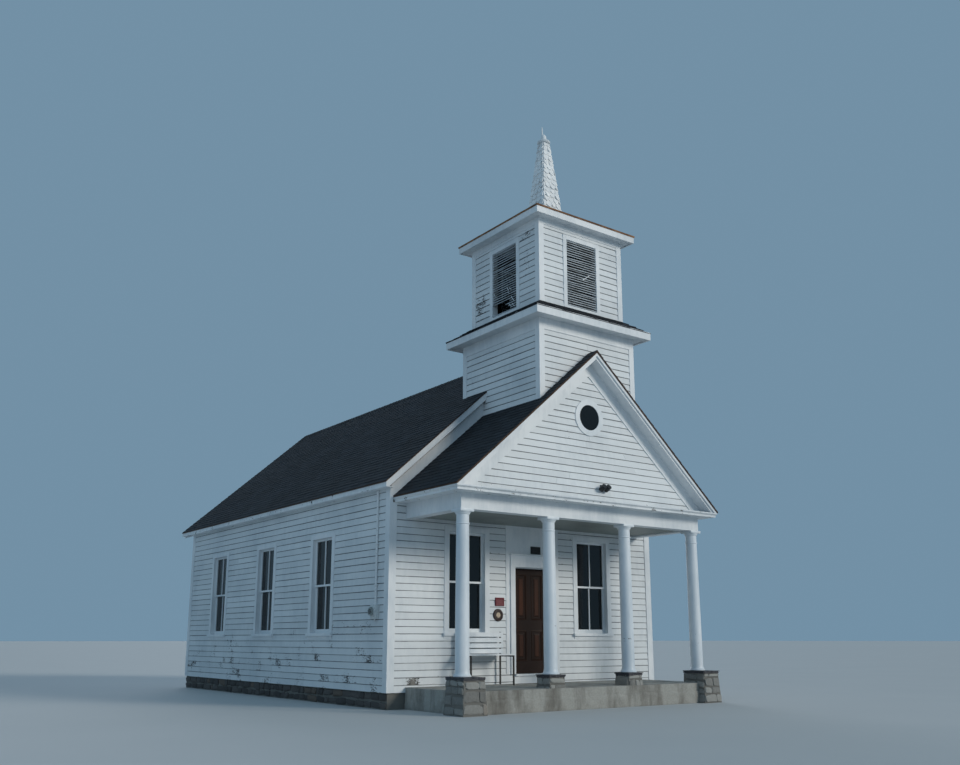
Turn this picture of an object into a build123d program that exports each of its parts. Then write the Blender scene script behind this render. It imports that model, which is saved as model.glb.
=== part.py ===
from build123d import *
import os
from math import atan, cos, degrees, hypot, pi

os.makedirs("parts", exist_ok=True)

# Body of the chapel, outside faces of the boarding. Heights called _z are above the lowest ground.
house_w = 6700
house_l = 10240
wall_t = 160
sill_z = 290  # foot of the boarding, on top of the fieldstone
stone_t = 400
stone_set_in = 20
stone_joint = 0.5  # mortar joint between the four strips of fieldstone
floor_top_z = sill_z + 268
board_floor_t = 45
joist_w = 60
joist_pitch = 600

# Main roof
main_pitch = 0.89  # rise for each unit of run
eave_reach = 182
eave_edge_z = sill_z + 3769
roof_t = 140
fascia_h = 108
fascia_t = 25
soffit_t = 20
front_rake_reach = 136
rear_rake_reach = 500
rake_board_h = 110
roof_edge_t = 22  # boards and shingles seen along every roof edge
roof_lip = 12  # how far they overhang the fascias and the crowns
frieze_t = 25
frieze_h = 250
corner_board_w = 130
corner_board_t = 25

# Windows: upper and lower sash, each of two lights. Levels run from the foot of the boarding.
win_w = 840
win_sill_z = sill_z + 1050
win_head_z = sill_z + 2950
side_win_first = 2640  # front wall to the middle of the first side window
side_win_pitch = 2780
side_win_count = 3
front_win_x = 1620
jamb_t = 30
casing_w = 110
casing_t = 25
head_casing_h = 95
sill_t = 55
sill_nose = 40
apron_h = 55
stile_w = 45
bottom_rail_h = 80
meeting_rail_h = 38
sash_t = 34
sash_gap = 2
muntin_w = 22
muntin_t = 22
glass_t = 4
upper_sash_set_in = 50

# Front door, which swings inward on its left edge
door_w = 914
door_h = 2055
door_t = 44
door_gap = 8
door_floor_gap = 8
stop_w = 14
stop_t = 36
door_jamb_t = 36
door_casing_w = 115
door_surround_w = 225  # door edge to the outer edge of the flat boards
door_casing_t = 24
surround_t = 22
door_head_board_h = 235
drip_t = 22
drip_reach = 45
door_stile_w = 118
door_lock_rail_h = 200
door_bottom_rail_h = 235
door_panel_depth = 12
lock_rail_z = 830  # underside of the lock rail above the foot of the door
knob_r = 28
knob_reach = 62
rose_r = 30
rose_t = 5
spindle_r = 9
knob_edge = 65
hinge_inset = 180  # middle of the outer hinges from the head and the foot of the door
knuckle_r = 6
knuckle_h = 90
fixed_knuckle_h = 30
knuckle_gap = 0.3
fixed_leaf_w = 26
moving_leaf_w = 40
leaf_gap = 0.5  # between a fixed leaf and the moving knuckle
hinge_leaf_t = 3
hinge_pin_off = 7  # pin stands this far inside the face of the door
threshold_t = 36
threshold_nose = 55
riser_t = 24

# Porch
end_col_inset = 452  # corner of the body to the middle of the end columns
col_count = 4
col_line = 1669  # front wall to the middle of the columns
col_foot_d = 244
col_top_d = 222
base_flare_d = 312
base_flare_mid_d = 262
base_flare_h = 95
base_flare_mid_h = 40
plinth_h = 18
neck_ring_h = 22
neck_ring_d = 246
neck_below = 165
echinus_h = 48
echinus_mid_d = 252
echinus_mid_h = 14
abacus_w = 285
abacus_t = 48
turned_sides = 24  # flats round the columns and the finial
beam_w = 220
beam_foot_z = sill_z + 3122
cornice_foot_z = sill_z + 3400
cornice_reach = 300
crown_h = 48
crown_reach = 30
porch_edge_z = sill_z + 3511
porch_pitch = 0.875
porch_roof_t = 110
porch_boards_t = 28
raking_cornice_h = 92
rake_frieze_w = 225
rake_frieze_t = 26
ceiling_z = sill_z + 3154
ceiling_t = 20
pediment_wall_t = 110
slab_top_z = sill_z + 90
slab_half_w = 2970
slab_d = 1900
pier_cap_t = 45
pier_top_z = sill_z + 276
end_pier_w = 420
end_pier_d = 500
end_pier_forward = 97  # pier centre in front of the column line
mid_pier_w = 340
mid_pier_d = 340
pier_batter = 70  # how much wider the pier is at the ground
cap_lip = 34

# Round window in the pediment
round_z = sill_z + 5120
round_glass_r = 250
round_casing_w = 110
round_casing_t = 28
round_rim_w = 24

# Lower stage of the tower
tower_w = 2456
tower_wall_t = 120
tower_front = 1800  # front wall to the face of the tower
tower_board_w = 105
tower_board_t = 22
ridge_gap = 8.5  # ridge of the main roof to the underside of the tower's cornice
tower_cornice_h = 107
tower_cornice_reach = 264
tower_crown_h = 78
tower_crown_reach = 26
tower_frieze_h = 220
deck_t = 60

# Belfry, each height above the part below it
belfry_w = 2188
belfry_wall_t = 110
skirt_h = 296
louvre_w = 790
louvre_over_skirt = 51
louvre_h = 1390
louvre_casing_w = 92
louvre_casing_t = 24
louvre_frame_t = 22
slat_count = 22
slat_t = 9
slat_depth = 82
slat_angle = 42
lost_slats = (1, 2, 3)  # counted from the foot of the left louvre
louvre_to_cornice = 290
belfry_frieze_h = 122
belfry_cornice_h = 127
belfry_cornice_reach = 215
belfry_crown_h = 92
belfry_crown_reach = 24
belfry_roof_h = 418

# Spire and finial
spire_foot_w = 550
spire_h = 1888
spire_top_w = 160
collar_h = 60
collar_d = 281
urn_rings = ((88, 0), (80, 16), (120, 62), (122, 96), (92, 140), (40, 172))  # width, height
spike_foot_d = 38
spike_top_d = 22
spike_off_x = -24
spike_off_y = 18
spike_foot_h = 120  # inside the urn
finial_h = 413

# Small things on the walls and the porch
meter_y = 400  # front wall to the middle of the box
meter_z = sill_z + 1420
meter_box_w = 200
meter_box_h = 260
meter_box_t = 90
meter_dome_r = 82
meter_dome_t = 80
meter_dome_taper = 8
conduit_r = 16
light_x = 300
light_z = sill_z + 3770
light_box = 110
light_box_t = 45
light_head_r = 52
light_head_l = 120
light_head_x = 58  # middle of the box to the middle of each head
light_head_y = 95  # in front of the wall
light_head_down = 10
light_head_tilt = 60
bench_right_x = -850
bench_w = 1080
bench_seat_d = 440
bench_seat_h = 570
bench_back_h = 980
bench_back_gap = 85  # wall to the back of the bench
bench_slat_t = 24
bench_seat_slat_w = 120
bench_back_slat_w = 82
bench_seat_slats = 3
bench_back_slats = 4
bench_leg_t = 26
bench_inset = 45

# The row frame stands under the middle of the whole building
col_outer_x = house_w / 2 - end_col_inset
col_pitch = 2 * col_outer_x / (col_count - 1)
beam_out = col_line + beam_w / 2
porch_front = beam_out + cornice_reach
front_y = (porch_front - house_l - rear_rake_reach) / 2
rear_y = front_y + house_l
wall_x = house_w / 2
eave_x = wall_x + eave_reach
fascia_x = eave_x - roof_lip
porch_eave_x = col_outer_x + beam_w / 2 + cornice_reach
col_y = front_y - col_line
beam_face_y = front_y - beam_out
beam_x = col_outer_x + beam_w / 2
tower_y = front_y - tower_front + tower_w / 2
tower_half = tower_w / 2
belfry_half = belfry_w / 2

# Levels that follow from the roofs
main_drop = roof_t * hypot(1, main_pitch)
porch_drop = porch_roof_t * hypot(1, porch_pitch)
boards_drop = porch_boards_t * hypot(1, porch_pitch)
soffit_foot_z = eave_edge_z - fascia_h
soffit_top_z = soffit_foot_z + soffit_t
cornice_top_z = porch_edge_z - roof_edge_t
door_foot_z = floor_top_z + door_floor_gap
door_head_z = door_foot_z + door_h
opening_head_z = door_head_z + door_gap
opening_half = door_w / 2 + door_gap
rough_half = opening_half + door_jamb_t
rough_head_z = opening_head_z + door_jamb_t
drip_z = opening_head_z + door_head_board_h
ridge_z = eave_edge_z + main_pitch * eave_x
tower_cornice_foot_z = ridge_z + ridge_gap
tower_cornice_top_z = tower_cornice_foot_z + tower_cornice_h
skirt_top_z = tower_cornice_top_z + skirt_h
louvre_foot_z = skirt_top_z + louvre_over_skirt
louvre_head_z = louvre_foot_z + louvre_h
belfry_cornice_foot_z = louvre_head_z + louvre_to_cornice
belfry_cornice_top_z = belfry_cornice_foot_z + belfry_cornice_h
spire_foot_z = belfry_cornice_top_z + belfry_roof_h
spire_top_z = spire_foot_z + spire_h


def main_top(x):
    """Height of the main roof's upper face."""
    return eave_edge_z + main_pitch * (eave_x - abs(x))


def main_under(x):
    """Height of the main roof's under face."""
    return main_top(x) - main_drop


def porch_top(x):
    """Height of the porch roof's upper face."""
    return porch_edge_z + porch_pitch * (porch_eave_x - abs(x))


def porch_under(x):
    """Height of the porch roof's under face."""
    return porch_top(x) - porch_drop


def across(y, *points):
    """A section across the house at y, from its (x, z) corners."""
    with BuildSketch(Plane.XZ.offset(-y)) as section:
        with BuildLine():
            Polyline(*points, close=True)
        make_face()
    return section.sketch


def window_plan(width, foot, head, plane):
    """An upright rectangle on a wall plane, from its width and its two levels."""
    with BuildSketch(plane) as plan:
        with Locations((0, (foot + head) / 2)):
            Rectangle(width, head - foot)
    return plan.sketch


def square_at(z, width, y):
    """A level square about the tower's axis."""
    with BuildSketch(Plane((0, y, z))) as plan:
        Rectangle(width, width)
    return plan.sketch


def hipped(foot_z, top_z, foot_w, top_w, y):
    """A square roof with a low upright edge, tapering evenly up to its top."""
    rise = top_z - foot_z - roof_edge_t
    extrude(square_at(foot_z, foot_w, y), amount=roof_edge_t)
    slant = degrees(atan((foot_w - top_w) / 2 / rise))
    extrude(square_at(foot_z + roof_edge_t, foot_w, y), amount=rise, taper=slant)


def turned(x, y, rings):
    """An upright turned piece: flats between its rings, each a width across corners and a level."""
    for (foot_d, foot_z), (head_d, head_z) in zip(rings, rings[1:]):
        with BuildSketch(Plane((x, y, foot_z))) as ring:
            RegularPolygon(foot_d / 2, turned_sides)
        inward = (foot_d - head_d) / 2 * cos(pi / turned_sides)
        extrude(ring.sketch, amount=head_z - foot_z, taper=degrees(atan(inward / (head_z - foot_z))))


def mirrored_x(x):
    return (-x, x)


def save(piece, name):
    piece.part.label = name
    export_step(piece.part, f"parts/{name}.step")


# Window and belfry openings, each a place on a wall with its local Z pointing outward
side_win_y = [front_y + side_win_first + side_win_pitch * i for i in range(side_win_count)]
left_planes = [Plane(origin=(-wall_x, y, 0), x_dir=(0, -1, 0), z_dir=(-1, 0, 0)) for y in side_win_y]
right_planes = [Plane(origin=(wall_x, y, 0), x_dir=(0, 1, 0), z_dir=(1, 0, 0)) for y in side_win_y]
front_win_at = mirrored_x(front_win_x)
front_planes = [Plane(origin=(x, front_y, 0), x_dir=(1, 0, 0), z_dir=(0, -1, 0)) for x in front_win_at]
window_planes = left_planes + right_planes + front_planes
rough_w = win_w + 2 * jamb_t
rough_foot_z = win_sill_z - sill_t
rough_top_z = win_head_z + jamb_t

# Fieldstone under the walls, in four strips
stone_x = wall_x - stone_set_in
stone_front = front_y + stone_set_in
stone_rear = rear_y - stone_set_in
with BuildPart() as foundation:
    for y in (stone_front + stone_t / 2, stone_rear - stone_t / 2):
        with Locations((0, y, 0)):
            Box(2 * stone_x, stone_t, sill_z, align=(Align.CENTER, Align.CENTER, Align.MIN))
    for x in mirrored_x(stone_x - stone_t / 2):
        with Locations((x, (stone_front + stone_rear) / 2, 0)):
            side_l = stone_rear - stone_front - 2 * (stone_t + stone_joint)
            Box(stone_t, side_l, sill_z, align=(Align.CENTER, Align.CENTER, Align.MIN))
save(foundation, "foundation")

# Floor boards, on joists that rest on the ledge of the fieldstone
room_w = house_w - 2 * wall_t
room_l = house_l - 2 * wall_t
room_y = (front_y + rear_y) / 2
joist_count = int(room_l / joist_pitch)
with BuildPart() as floor_boards:
    with Locations((0, room_y, floor_top_z)):
        Box(room_w, room_l, board_floor_t, align=(Align.CENTER, Align.CENTER, Align.MAX))
save(floor_boards, "floor_boards")

with BuildPart() as floor_joists:
    with Locations((0, room_y, sill_z)):
        with GridLocations(joist_pitch, joist_pitch, 1, joist_count):
            joist_h = floor_top_z - board_floor_t - sill_z
            Box(room_w, joist_w, joist_h, align=(Align.CENTER, Align.CENTER, Align.MIN))
save(floor_joists, "floor_joists")

# Long walls, bevelled on top to the rafters, with three windows each
for name, side, planes in (("left_wall", -1, left_planes), ("right_wall", 1, right_planes)):
    inner_x = wall_x - wall_t
    with BuildPart() as long_wall:
        section = across(
            front_y + wall_t,
            (side * wall_x, sill_z),
            (side * wall_x, main_under(wall_x)),
            (side * inner_x, main_under(inner_x)),
            (side * inner_x, sill_z),
        )
        extrude(section, amount=-room_l)
        for plane in planes:
            opening = window_plan(rough_w, rough_foot_z, rough_top_z, plane)
            extrude(opening, amount=-wall_t, mode=Mode.SUBTRACT)
    save(long_wall, name)

# Rear gable wall
with BuildPart() as rear_wall:
    gable = across(
        rear_y - wall_t,
        (-wall_x, sill_z),
        (wall_x, sill_z),
        (wall_x, main_under(wall_x)),
        (0, main_under(0)),
        (-wall_x, main_under(wall_x)),
    )
    extrude(gable, amount=-wall_t)
save(rear_wall, "rear_wall")

# Front wall in four pieces round the doorway
for name, side in (("front_wall_left", -1), ("front_wall_right", 1)):
    plane = front_planes[0 if side < 0 else 1]
    with BuildPart() as beside_door:
        section = across(
            front_y,
            (side * rough_half, sill_z),
            (side * wall_x, sill_z),
            (side * wall_x, ceiling_z),
            (side * rough_half, ceiling_z),
        )
        extrude(section, amount=-wall_t)
        extrude(window_plan(rough_w, rough_foot_z, rough_top_z, plane), amount=-wall_t, mode=Mode.SUBTRACT)
    save(beside_door, name)

with BuildPart() as front_wall_over_door:
    section = across(
        front_y,
        (-rough_half, rough_head_z),
        (rough_half, rough_head_z),
        (rough_half, ceiling_z),
        (-rough_half, ceiling_z),
    )
    extrude(section, amount=-wall_t)
save(front_wall_over_door, "front_wall_over_door")

with BuildPart() as front_gable:
    gable = across(
        front_y,
        (-wall_x, ceiling_z),
        (wall_x, ceiling_z),
        (wall_x, main_under(wall_x)),
        (0, main_under(0)),
        (-wall_x, main_under(wall_x)),
    )
    extrude(gable, amount=-wall_t)
save(front_gable, "front_gable")

# Main roof: on each side a slab of rafters with a level cut over the soffit, under boards that overhang
# the fascias and the rake boards
roof_from = front_y - front_rake_reach
roof_to = rear_y + rear_rake_reach
rafters_from = roof_from + roof_lip + fascia_t
rafters_to = roof_to - roof_lip - fascia_t
roof_edge_x = fascia_x - fascia_t
soffit_meet_x = eave_x - (main_drop - (eave_edge_z - soffit_top_z)) / main_pitch
for name, side in (("main_roof_left", -1), ("main_roof_right", 1)):
    with BuildPart() as main_roof:
        section = across(
            rafters_from,
            (side * roof_edge_x, main_top(roof_edge_x) - roof_edge_t),
            (side * roof_edge_x, soffit_top_z),
            (side * soffit_meet_x, soffit_top_z),
            (0, main_under(0)),
            (0, main_top(0) - roof_edge_t),
        )
        extrude(section, amount=rafters_from - rafters_to)
        boards = across(
            roof_from,
            (side * eave_x, eave_edge_z),
            (side * eave_x, eave_edge_z - roof_edge_t),
            (0, main_top(0) - roof_edge_t),
            (0, main_top(0)),
        )
        extrude(boards, amount=roof_from - roof_to)
    save(main_roof, name)

# Fascia and level soffit of both eaves
with BuildPart() as main_eaves:
    for side in (-1, 1):
        section = across(
            rafters_from,
            (side * fascia_x, soffit_foot_z),
            (side * fascia_x, main_top(fascia_x) - roof_edge_t),
            (side * roof_edge_x, main_top(roof_edge_x) - roof_edge_t),
            (side * roof_edge_x, soffit_top_z),
            (side * wall_x, soffit_top_z),
            (side * wall_x, soffit_foot_z),
        )
        extrude(section, amount=rafters_from - rafters_to)
save(main_eaves, "main_eaves")

# Rake boards that close the ends of the rafters
rake_drop = roof_edge_t + rake_board_h * hypot(1, main_pitch)
rake_meet_x = eave_x - (rake_drop - fascia_h) / main_pitch
with BuildPart() as gable_rakes:
    for y in (rafters_from - fascia_t, rafters_to):
        section = across(
            y,
            (-fascia_x, soffit_foot_z),
            (-fascia_x, main_top(fascia_x) - roof_edge_t),
            (0, main_top(0) - roof_edge_t),
            (fascia_x, main_top(fascia_x) - roof_edge_t),
            (fascia_x, soffit_foot_z),
            (rake_meet_x, soffit_foot_z),
            (0, main_top(0) - rake_drop),
            (-rake_meet_x, soffit_foot_z),
        )
        extrude(section, amount=-fascia_t)
save(gable_rakes, "gable_rakes")

# Frieze boards under the rakes: in front they fill the band above the porch roof, beside the tower
frieze_drop = frieze_h * hypot(1, main_pitch)
with BuildPart() as gable_friezes:
    for side in (-1, 1):
        section = across(
            front_y,
            (side * tower_half, porch_top(tower_half)),
            (side * porch_eave_x, porch_top(porch_eave_x)),
            (side * porch_eave_x, cornice_foot_z),
            (side * wall_x, cornice_foot_z),
            (side * wall_x, main_under(wall_x)),
            (side * tower_half, main_under(tower_half)),
        )
        extrude(section, amount=frieze_t)
    section = across(
        rear_y,
        (-wall_x, main_under(wall_x)),
        (0, main_under(0)),
        (wall_x, main_under(wall_x)),
        (wall_x, main_under(wall_x) - frieze_drop),
        (0, main_under(0) - frieze_drop),
        (-wall_x, main_under(wall_x) - frieze_drop),
    )
    extrude(section, amount=-frieze_t)
save(gable_friezes, "gable_friezes")


def corner_post(x_side, y_side, half_x, half_y, y_mid, width, thick, foot, head_side, head_end):
    """Two boards that wrap a corner: one on the side face, one on the end face."""
    x_face = x_side * half_x
    y_face = y_mid + y_side * half_y
    y_out = y_face + y_side * thick
    with Locations((x_face + x_side * thick / 2, y_out - y_side * (width + thick) / 2, foot)):
        Box(thick, width + thick, head_side - foot, align=(Align.CENTER, Align.CENTER, Align.MIN))
    with Locations((x_face - x_side * width / 2, y_face + y_side * thick / 2, foot)):
        Box(width, thick, head_end - foot, align=(Align.CENTER, Align.CENTER, Align.MIN))


def cut_under_roofs():
    """Take away all that lies below the roofs, so that what stands on them fits their slopes."""
    main_shape = across(
        roof_from,
        (-eave_x, 0),
        (-eave_x, eave_edge_z),
        (0, main_top(0)),
        (eave_x, eave_edge_z),
        (eave_x, 0),
    )
    extrude(main_shape, amount=-house_l, mode=Mode.SUBTRACT)
    porch_shape = across(
        front_y - porch_front,
        (-porch_eave_x, 0),
        (-porch_eave_x, porch_edge_z),
        (0, porch_top(0)),
        (porch_eave_x, porch_edge_z),
        (porch_eave_x, 0),
    )
    extrude(porch_shape, amount=-porch_front, mode=Mode.SUBTRACT)


# Corner boards of the house, the tower and the belfry
rear_frieze_foot_z = main_under(wall_x) - frieze_drop
with BuildPart() as corner_boards:
    for side in (-1, 1):
        corner_post(side, -1, tower_half, tower_half, tower_y, tower_board_w, tower_board_t,
                    porch_edge_z, tower_cornice_foot_z, tower_cornice_foot_z)
        corner_post(side, 1, tower_half, tower_half, tower_y, tower_board_w, tower_board_t,
                    porch_edge_z, tower_cornice_foot_z, tower_cornice_foot_z)
    cut_under_roofs()
    for side in (-1, 1):
        corner_post(side, -1, wall_x, house_l / 2, room_y, corner_board_w, corner_board_t,
                    sill_z, soffit_foot_z, cornice_foot_z)
        corner_post(side, 1, wall_x, house_l / 2, room_y, corner_board_w, corner_board_t,
                    sill_z, rear_frieze_foot_z, rear_frieze_foot_z)
        for end in (-1, 1):
            corner_post(side, end, belfry_half, belfry_half, tower_y, tower_board_w, tower_board_t,
                        skirt_top_z, belfry_cornice_foot_z, belfry_cornice_foot_z)
save(corner_boards, "corner_boards")

# Window frames: box frame in the wall, flat casing outside, projecting sill and apron
casing_outer_w = win_w + 2 * casing_w
with BuildPart() as window_frames:
    for plane in window_planes:
        extrude(window_plan(rough_w, rough_foot_z, rough_top_z, plane), amount=-wall_t)
        casing_foot_z = rough_foot_z - apron_h
        casing_top_z = win_head_z + head_casing_h
        extrude(window_plan(casing_outer_w, casing_foot_z, casing_top_z, plane), amount=casing_t)
        extrude(window_plan(win_w, win_sill_z, win_head_z, plane), amount=casing_t, mode=Mode.SUBTRACT)
        extrude(window_plan(win_w, win_sill_z, win_head_z, plane), amount=-wall_t, mode=Mode.SUBTRACT)
        sill_w = casing_outer_w + 2 * sill_nose / 2
        extrude(window_plan(sill_w, rough_foot_z, win_sill_z, plane), amount=casing_t + sill_nose)
save(window_frames, "window_frames")

# Sashes: the upper one slides outside the lower one, and they overlap at the meeting rails
win_mid_z = (win_sill_z + win_head_z) / 2
meet_foot_z = win_mid_z - meeting_rail_h / 2
meet_top_z = win_mid_z + meeting_rail_h / 2
lower_set_in = upper_sash_set_in + sash_t + sash_gap
sash_levels = (
    (upper_sash_set_in, meet_foot_z, win_head_z, meeting_rail_h, stile_w),
    (lower_set_in, win_sill_z, meet_top_z, bottom_rail_h, meeting_rail_h),
)
light_w = win_w - 2 * stile_w
with BuildPart() as window_sashes:
    for wall_plane in window_planes:
        for set_in, foot, head, foot_rail, head_rail in sash_levels:
            plane = wall_plane.offset(-set_in)
            extrude(window_plan(win_w, foot, head, plane), amount=-sash_t)
            extrude(window_plan(light_w, foot + foot_rail, head - head_rail, plane), amount=-sash_t,
                    mode=Mode.SUBTRACT)
            extrude(window_plan(muntin_w, foot + foot_rail, head - head_rail, plane), amount=-muntin_t)
save(window_sashes, "window_sashes")

# Glass: one sheet behind the glazing bar of each sash, and the round pane of the pediment
round_plane = Plane(origin=(0, beam_face_y, round_z), x_dir=(1, 0, 0), z_dir=(0, -1, 0))
round_glass_set_in = pediment_wall_t / 2
with BuildPart() as window_glass:
    for wall_plane in window_planes:
        for set_in, foot, head, foot_rail, head_rail in sash_levels:
            plane = wall_plane.offset(-set_in - muntin_t)
            extrude(window_plan(light_w, foot + foot_rail, head - head_rail, plane), amount=-glass_t)
    with BuildSketch(round_plane.offset(-round_glass_set_in)) as pane:
        Circle(round_glass_r)
    extrude(pane.sketch, amount=-glass_t)
save(window_glass, "window_glass")

# Front door with two tall upper panels and two lower ones
door_y = front_y + wall_t - door_t
door_plane = Plane(origin=(0, door_y, 0), x_dir=(1, 0, 0), z_dir=(0, -1, 0))
panel_w = (door_w - 3 * door_stile_w) / 2
panel_x = (panel_w + door_stile_w) / 2
panel_levels = (
    (door_foot_z + door_bottom_rail_h, door_foot_z + lock_rail_z),
    (door_foot_z + lock_rail_z + door_lock_rail_h, door_head_z - door_stile_w),
)
with BuildPart() as front_door:
    extrude(window_plan(door_w, door_foot_z, door_head_z, door_plane), amount=-door_t)
    for face, direction in ((door_plane, -1), (door_plane.offset(-door_t), 1)):
        for foot, head in panel_levels:
            with BuildSketch(face) as panels:
                with Locations((-panel_x, (foot + head) / 2), (panel_x, (foot + head) / 2)):
                    Rectangle(panel_w, head - foot)
            extrude(panels.sketch, amount=direction * door_panel_depth, mode=Mode.SUBTRACT)
save(front_door, "front_door")

# Knobs on their roses, and the moving halves of the three hinges
knob_x = door_w / 2 - knob_edge
knob_z = door_foot_z + lock_rail_z + door_lock_rail_h / 2
hinge_x = -door_w / 2 - door_gap / 2
hinge_y = front_y + wall_t + hinge_pin_off
knuckle_levels = (door_foot_z + hinge_inset, door_foot_z + door_h / 2, door_head_z - hinge_inset)
knob_profile = (
    (0, 0),
    (rose_r, 0),
    (rose_r, rose_t),
    (spindle_r, rose_t),
    (spindle_r, knob_reach - 1.5 * knob_r),
    (0.8 * knob_r, knob_reach - 1.2 * knob_r),
    (knob_r, knob_reach - 0.7 * knob_r),
    (0.7 * knob_r, knob_reach - 0.1 * knob_r),
    (0, knob_reach),
)
with BuildPart() as door_hardware:
    for face, out in ((door_y, -1), (door_y + door_t, 1)):
        with BuildSketch(Plane((knob_x, face, knob_z))) as half_knob:
            with BuildLine():
                Polyline(*[(radius, out * reach) for radius, reach in knob_profile], close=True)
            make_face()
        revolve(half_knob.sketch, axis=Axis((knob_x, face, knob_z), (0, 1, 0)))
    for z in knuckle_levels:
        with Locations((hinge_x, hinge_y, z)):
            Cylinder(knuckle_r, knuckle_h)
        with Locations((hinge_x, front_y + wall_t, z - knuckle_h / 2)):
            leaf_w = door_gap / 2 + moving_leaf_w
            Box(leaf_w, hinge_leaf_t, knuckle_h, align=(Align.MIN, Align.MIN, Align.MIN))
save(door_hardware, "door_hardware")

# Fixed halves of the hinges: a leaf on the jamb and a knuckle above and below each moving one
with BuildPart() as door_hinges:
    for z in knuckle_levels:
        leaf_h = knuckle_h + 2 * (fixed_knuckle_h + knuckle_gap)
        with Locations((hinge_x - knuckle_r - leaf_gap, front_y + wall_t, z)):
            Box(fixed_leaf_w, hinge_leaf_t, leaf_h, align=(Align.MAX, Align.MIN, Align.CENTER))
        for side in (-1, 1):
            knuckle_z = z + side * (knuckle_h / 2 + knuckle_gap + fixed_knuckle_h / 2)
            with Locations((hinge_x, hinge_y, knuckle_z)):
                Cylinder(knuckle_r, fixed_knuckle_h)
            with Locations((hinge_x, front_y + wall_t, knuckle_z)):
                tongue_w = knuckle_r + 2 * leaf_gap
                Box(tongue_w, hinge_leaf_t, fixed_knuckle_h, align=(Align.MAX, Align.MIN, Align.CENTER))
save(door_hinges, "door_hinges")

# Door frame: jambs with stops, flat boards up to the porch ceiling, casing and a drip cap over the head
stop_from_y = door_y - door_gap - stop_t
surround_half = door_w / 2 + door_surround_w
casing_half = opening_half + door_casing_w
front_plane = Plane(origin=(0, front_y, 0), x_dir=(1, 0, 0), z_dir=(0, -1, 0))
with BuildPart() as door_frame:
    extrude(window_plan(2 * rough_half, floor_top_z, rough_head_z, front_plane), amount=-wall_t)
    extrude(window_plan(2 * surround_half, floor_top_z, ceiling_z, front_plane), amount=surround_t)
    surround_face = front_plane.offset(surround_t)
    extrude(window_plan(2 * casing_half, floor_top_z, drip_z, surround_face), amount=door_casing_t)
    casing_face = front_plane.offset(surround_t + door_casing_t)
    extrude(window_plan(2 * opening_half, floor_top_z, opening_head_z, casing_face),
            amount=-(surround_t + door_casing_t + wall_t), mode=Mode.SUBTRACT)
    stop_plane = front_plane.offset(front_y - stop_from_y)
    extrude(window_plan(2 * opening_half, floor_top_z, opening_head_z, stop_plane), amount=-stop_t)
    extrude(window_plan(2 * (opening_half - stop_w), floor_top_z, opening_head_z - stop_w, stop_plane),
            amount=-stop_t, mode=Mode.SUBTRACT)
    drip_w = 2 * casing_half + drip_reach
    extrude(window_plan(drip_w, drip_z, drip_z + drip_t, surround_face), amount=door_casing_t + drip_reach)
save(door_frame, "door_frame")

# Threshold with a nosing, and the white riser under it
with BuildPart() as door_step:
    with Locations((0, front_y - threshold_nose, floor_top_z)):
        threshold_d = wall_t + threshold_nose
        Box(2 * opening_half, threshold_d, threshold_t, align=(Align.CENTER, Align.MIN, Align.MAX))
    with Locations((0, front_y - riser_t, slab_top_z)):
        riser_h = floor_top_z - threshold_t - slab_top_z
        Box(2 * rough_half, riser_t, riser_h, align=(Align.CENTER, Align.MIN, Align.MIN))
    with Locations((0, front_y, sill_z)):
        block_h = floor_top_z - threshold_t - sill_z
        Box(2 * rough_half, wall_t, block_h, align=(Align.CENTER, Align.MIN, Align.MIN))
    for x in mirrored_x((opening_half + rough_half) / 2):
        with Locations((x, front_y, floor_top_z)):
            Box(door_jamb_t, wall_t, threshold_t, align=(Align.CENTER, Align.MIN, Align.MAX))
save(door_step, "door_step")

# Concrete porch slab against the wall, notched round the piers
col_x = [col_pitch * (i - (col_count - 1) / 2) for i in range(col_count)]


def pier_sizes(i):
    """Width, depth and centre y of a pier: the end ones are larger and stand further forward."""
    if i in (0, col_count - 1):
        return end_pier_w, end_pier_d, col_y - end_pier_forward
    return mid_pier_w, mid_pier_d, col_y


with BuildPart() as porch_piers:
    for i, x in enumerate(col_x):
        width, depth, y = pier_sizes(i)
        with BuildSketch(Plane((x, y, 0))) as foot:
            Rectangle(width + pier_batter, depth + pier_batter)
        extrude(foot.sketch, amount=pier_top_z, taper=degrees(atan(pier_batter / 2 / pier_top_z)))
save(porch_piers, "porch_piers")

with BuildPart() as porch_slab:
    with Locations((0, front_y, 0)):
        Box(2 * slab_half_w, slab_d, slab_top_z, align=(Align.CENTER, Align.MAX, Align.MIN))
    add(porch_piers.part, mode=Mode.SUBTRACT)
save(porch_slab, "porch_slab")

with BuildPart() as pier_caps:
    for i, x in enumerate(col_x):
        width, depth, y = pier_sizes(i)
        with Locations((x, y, pier_top_z)):
            Box(width + 2 * cap_lip, depth + 2 * cap_lip, pier_cap_t,
                align=(Align.CENTER, Align.CENTER, Align.MIN))
save(pier_caps, "pier_caps")

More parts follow.
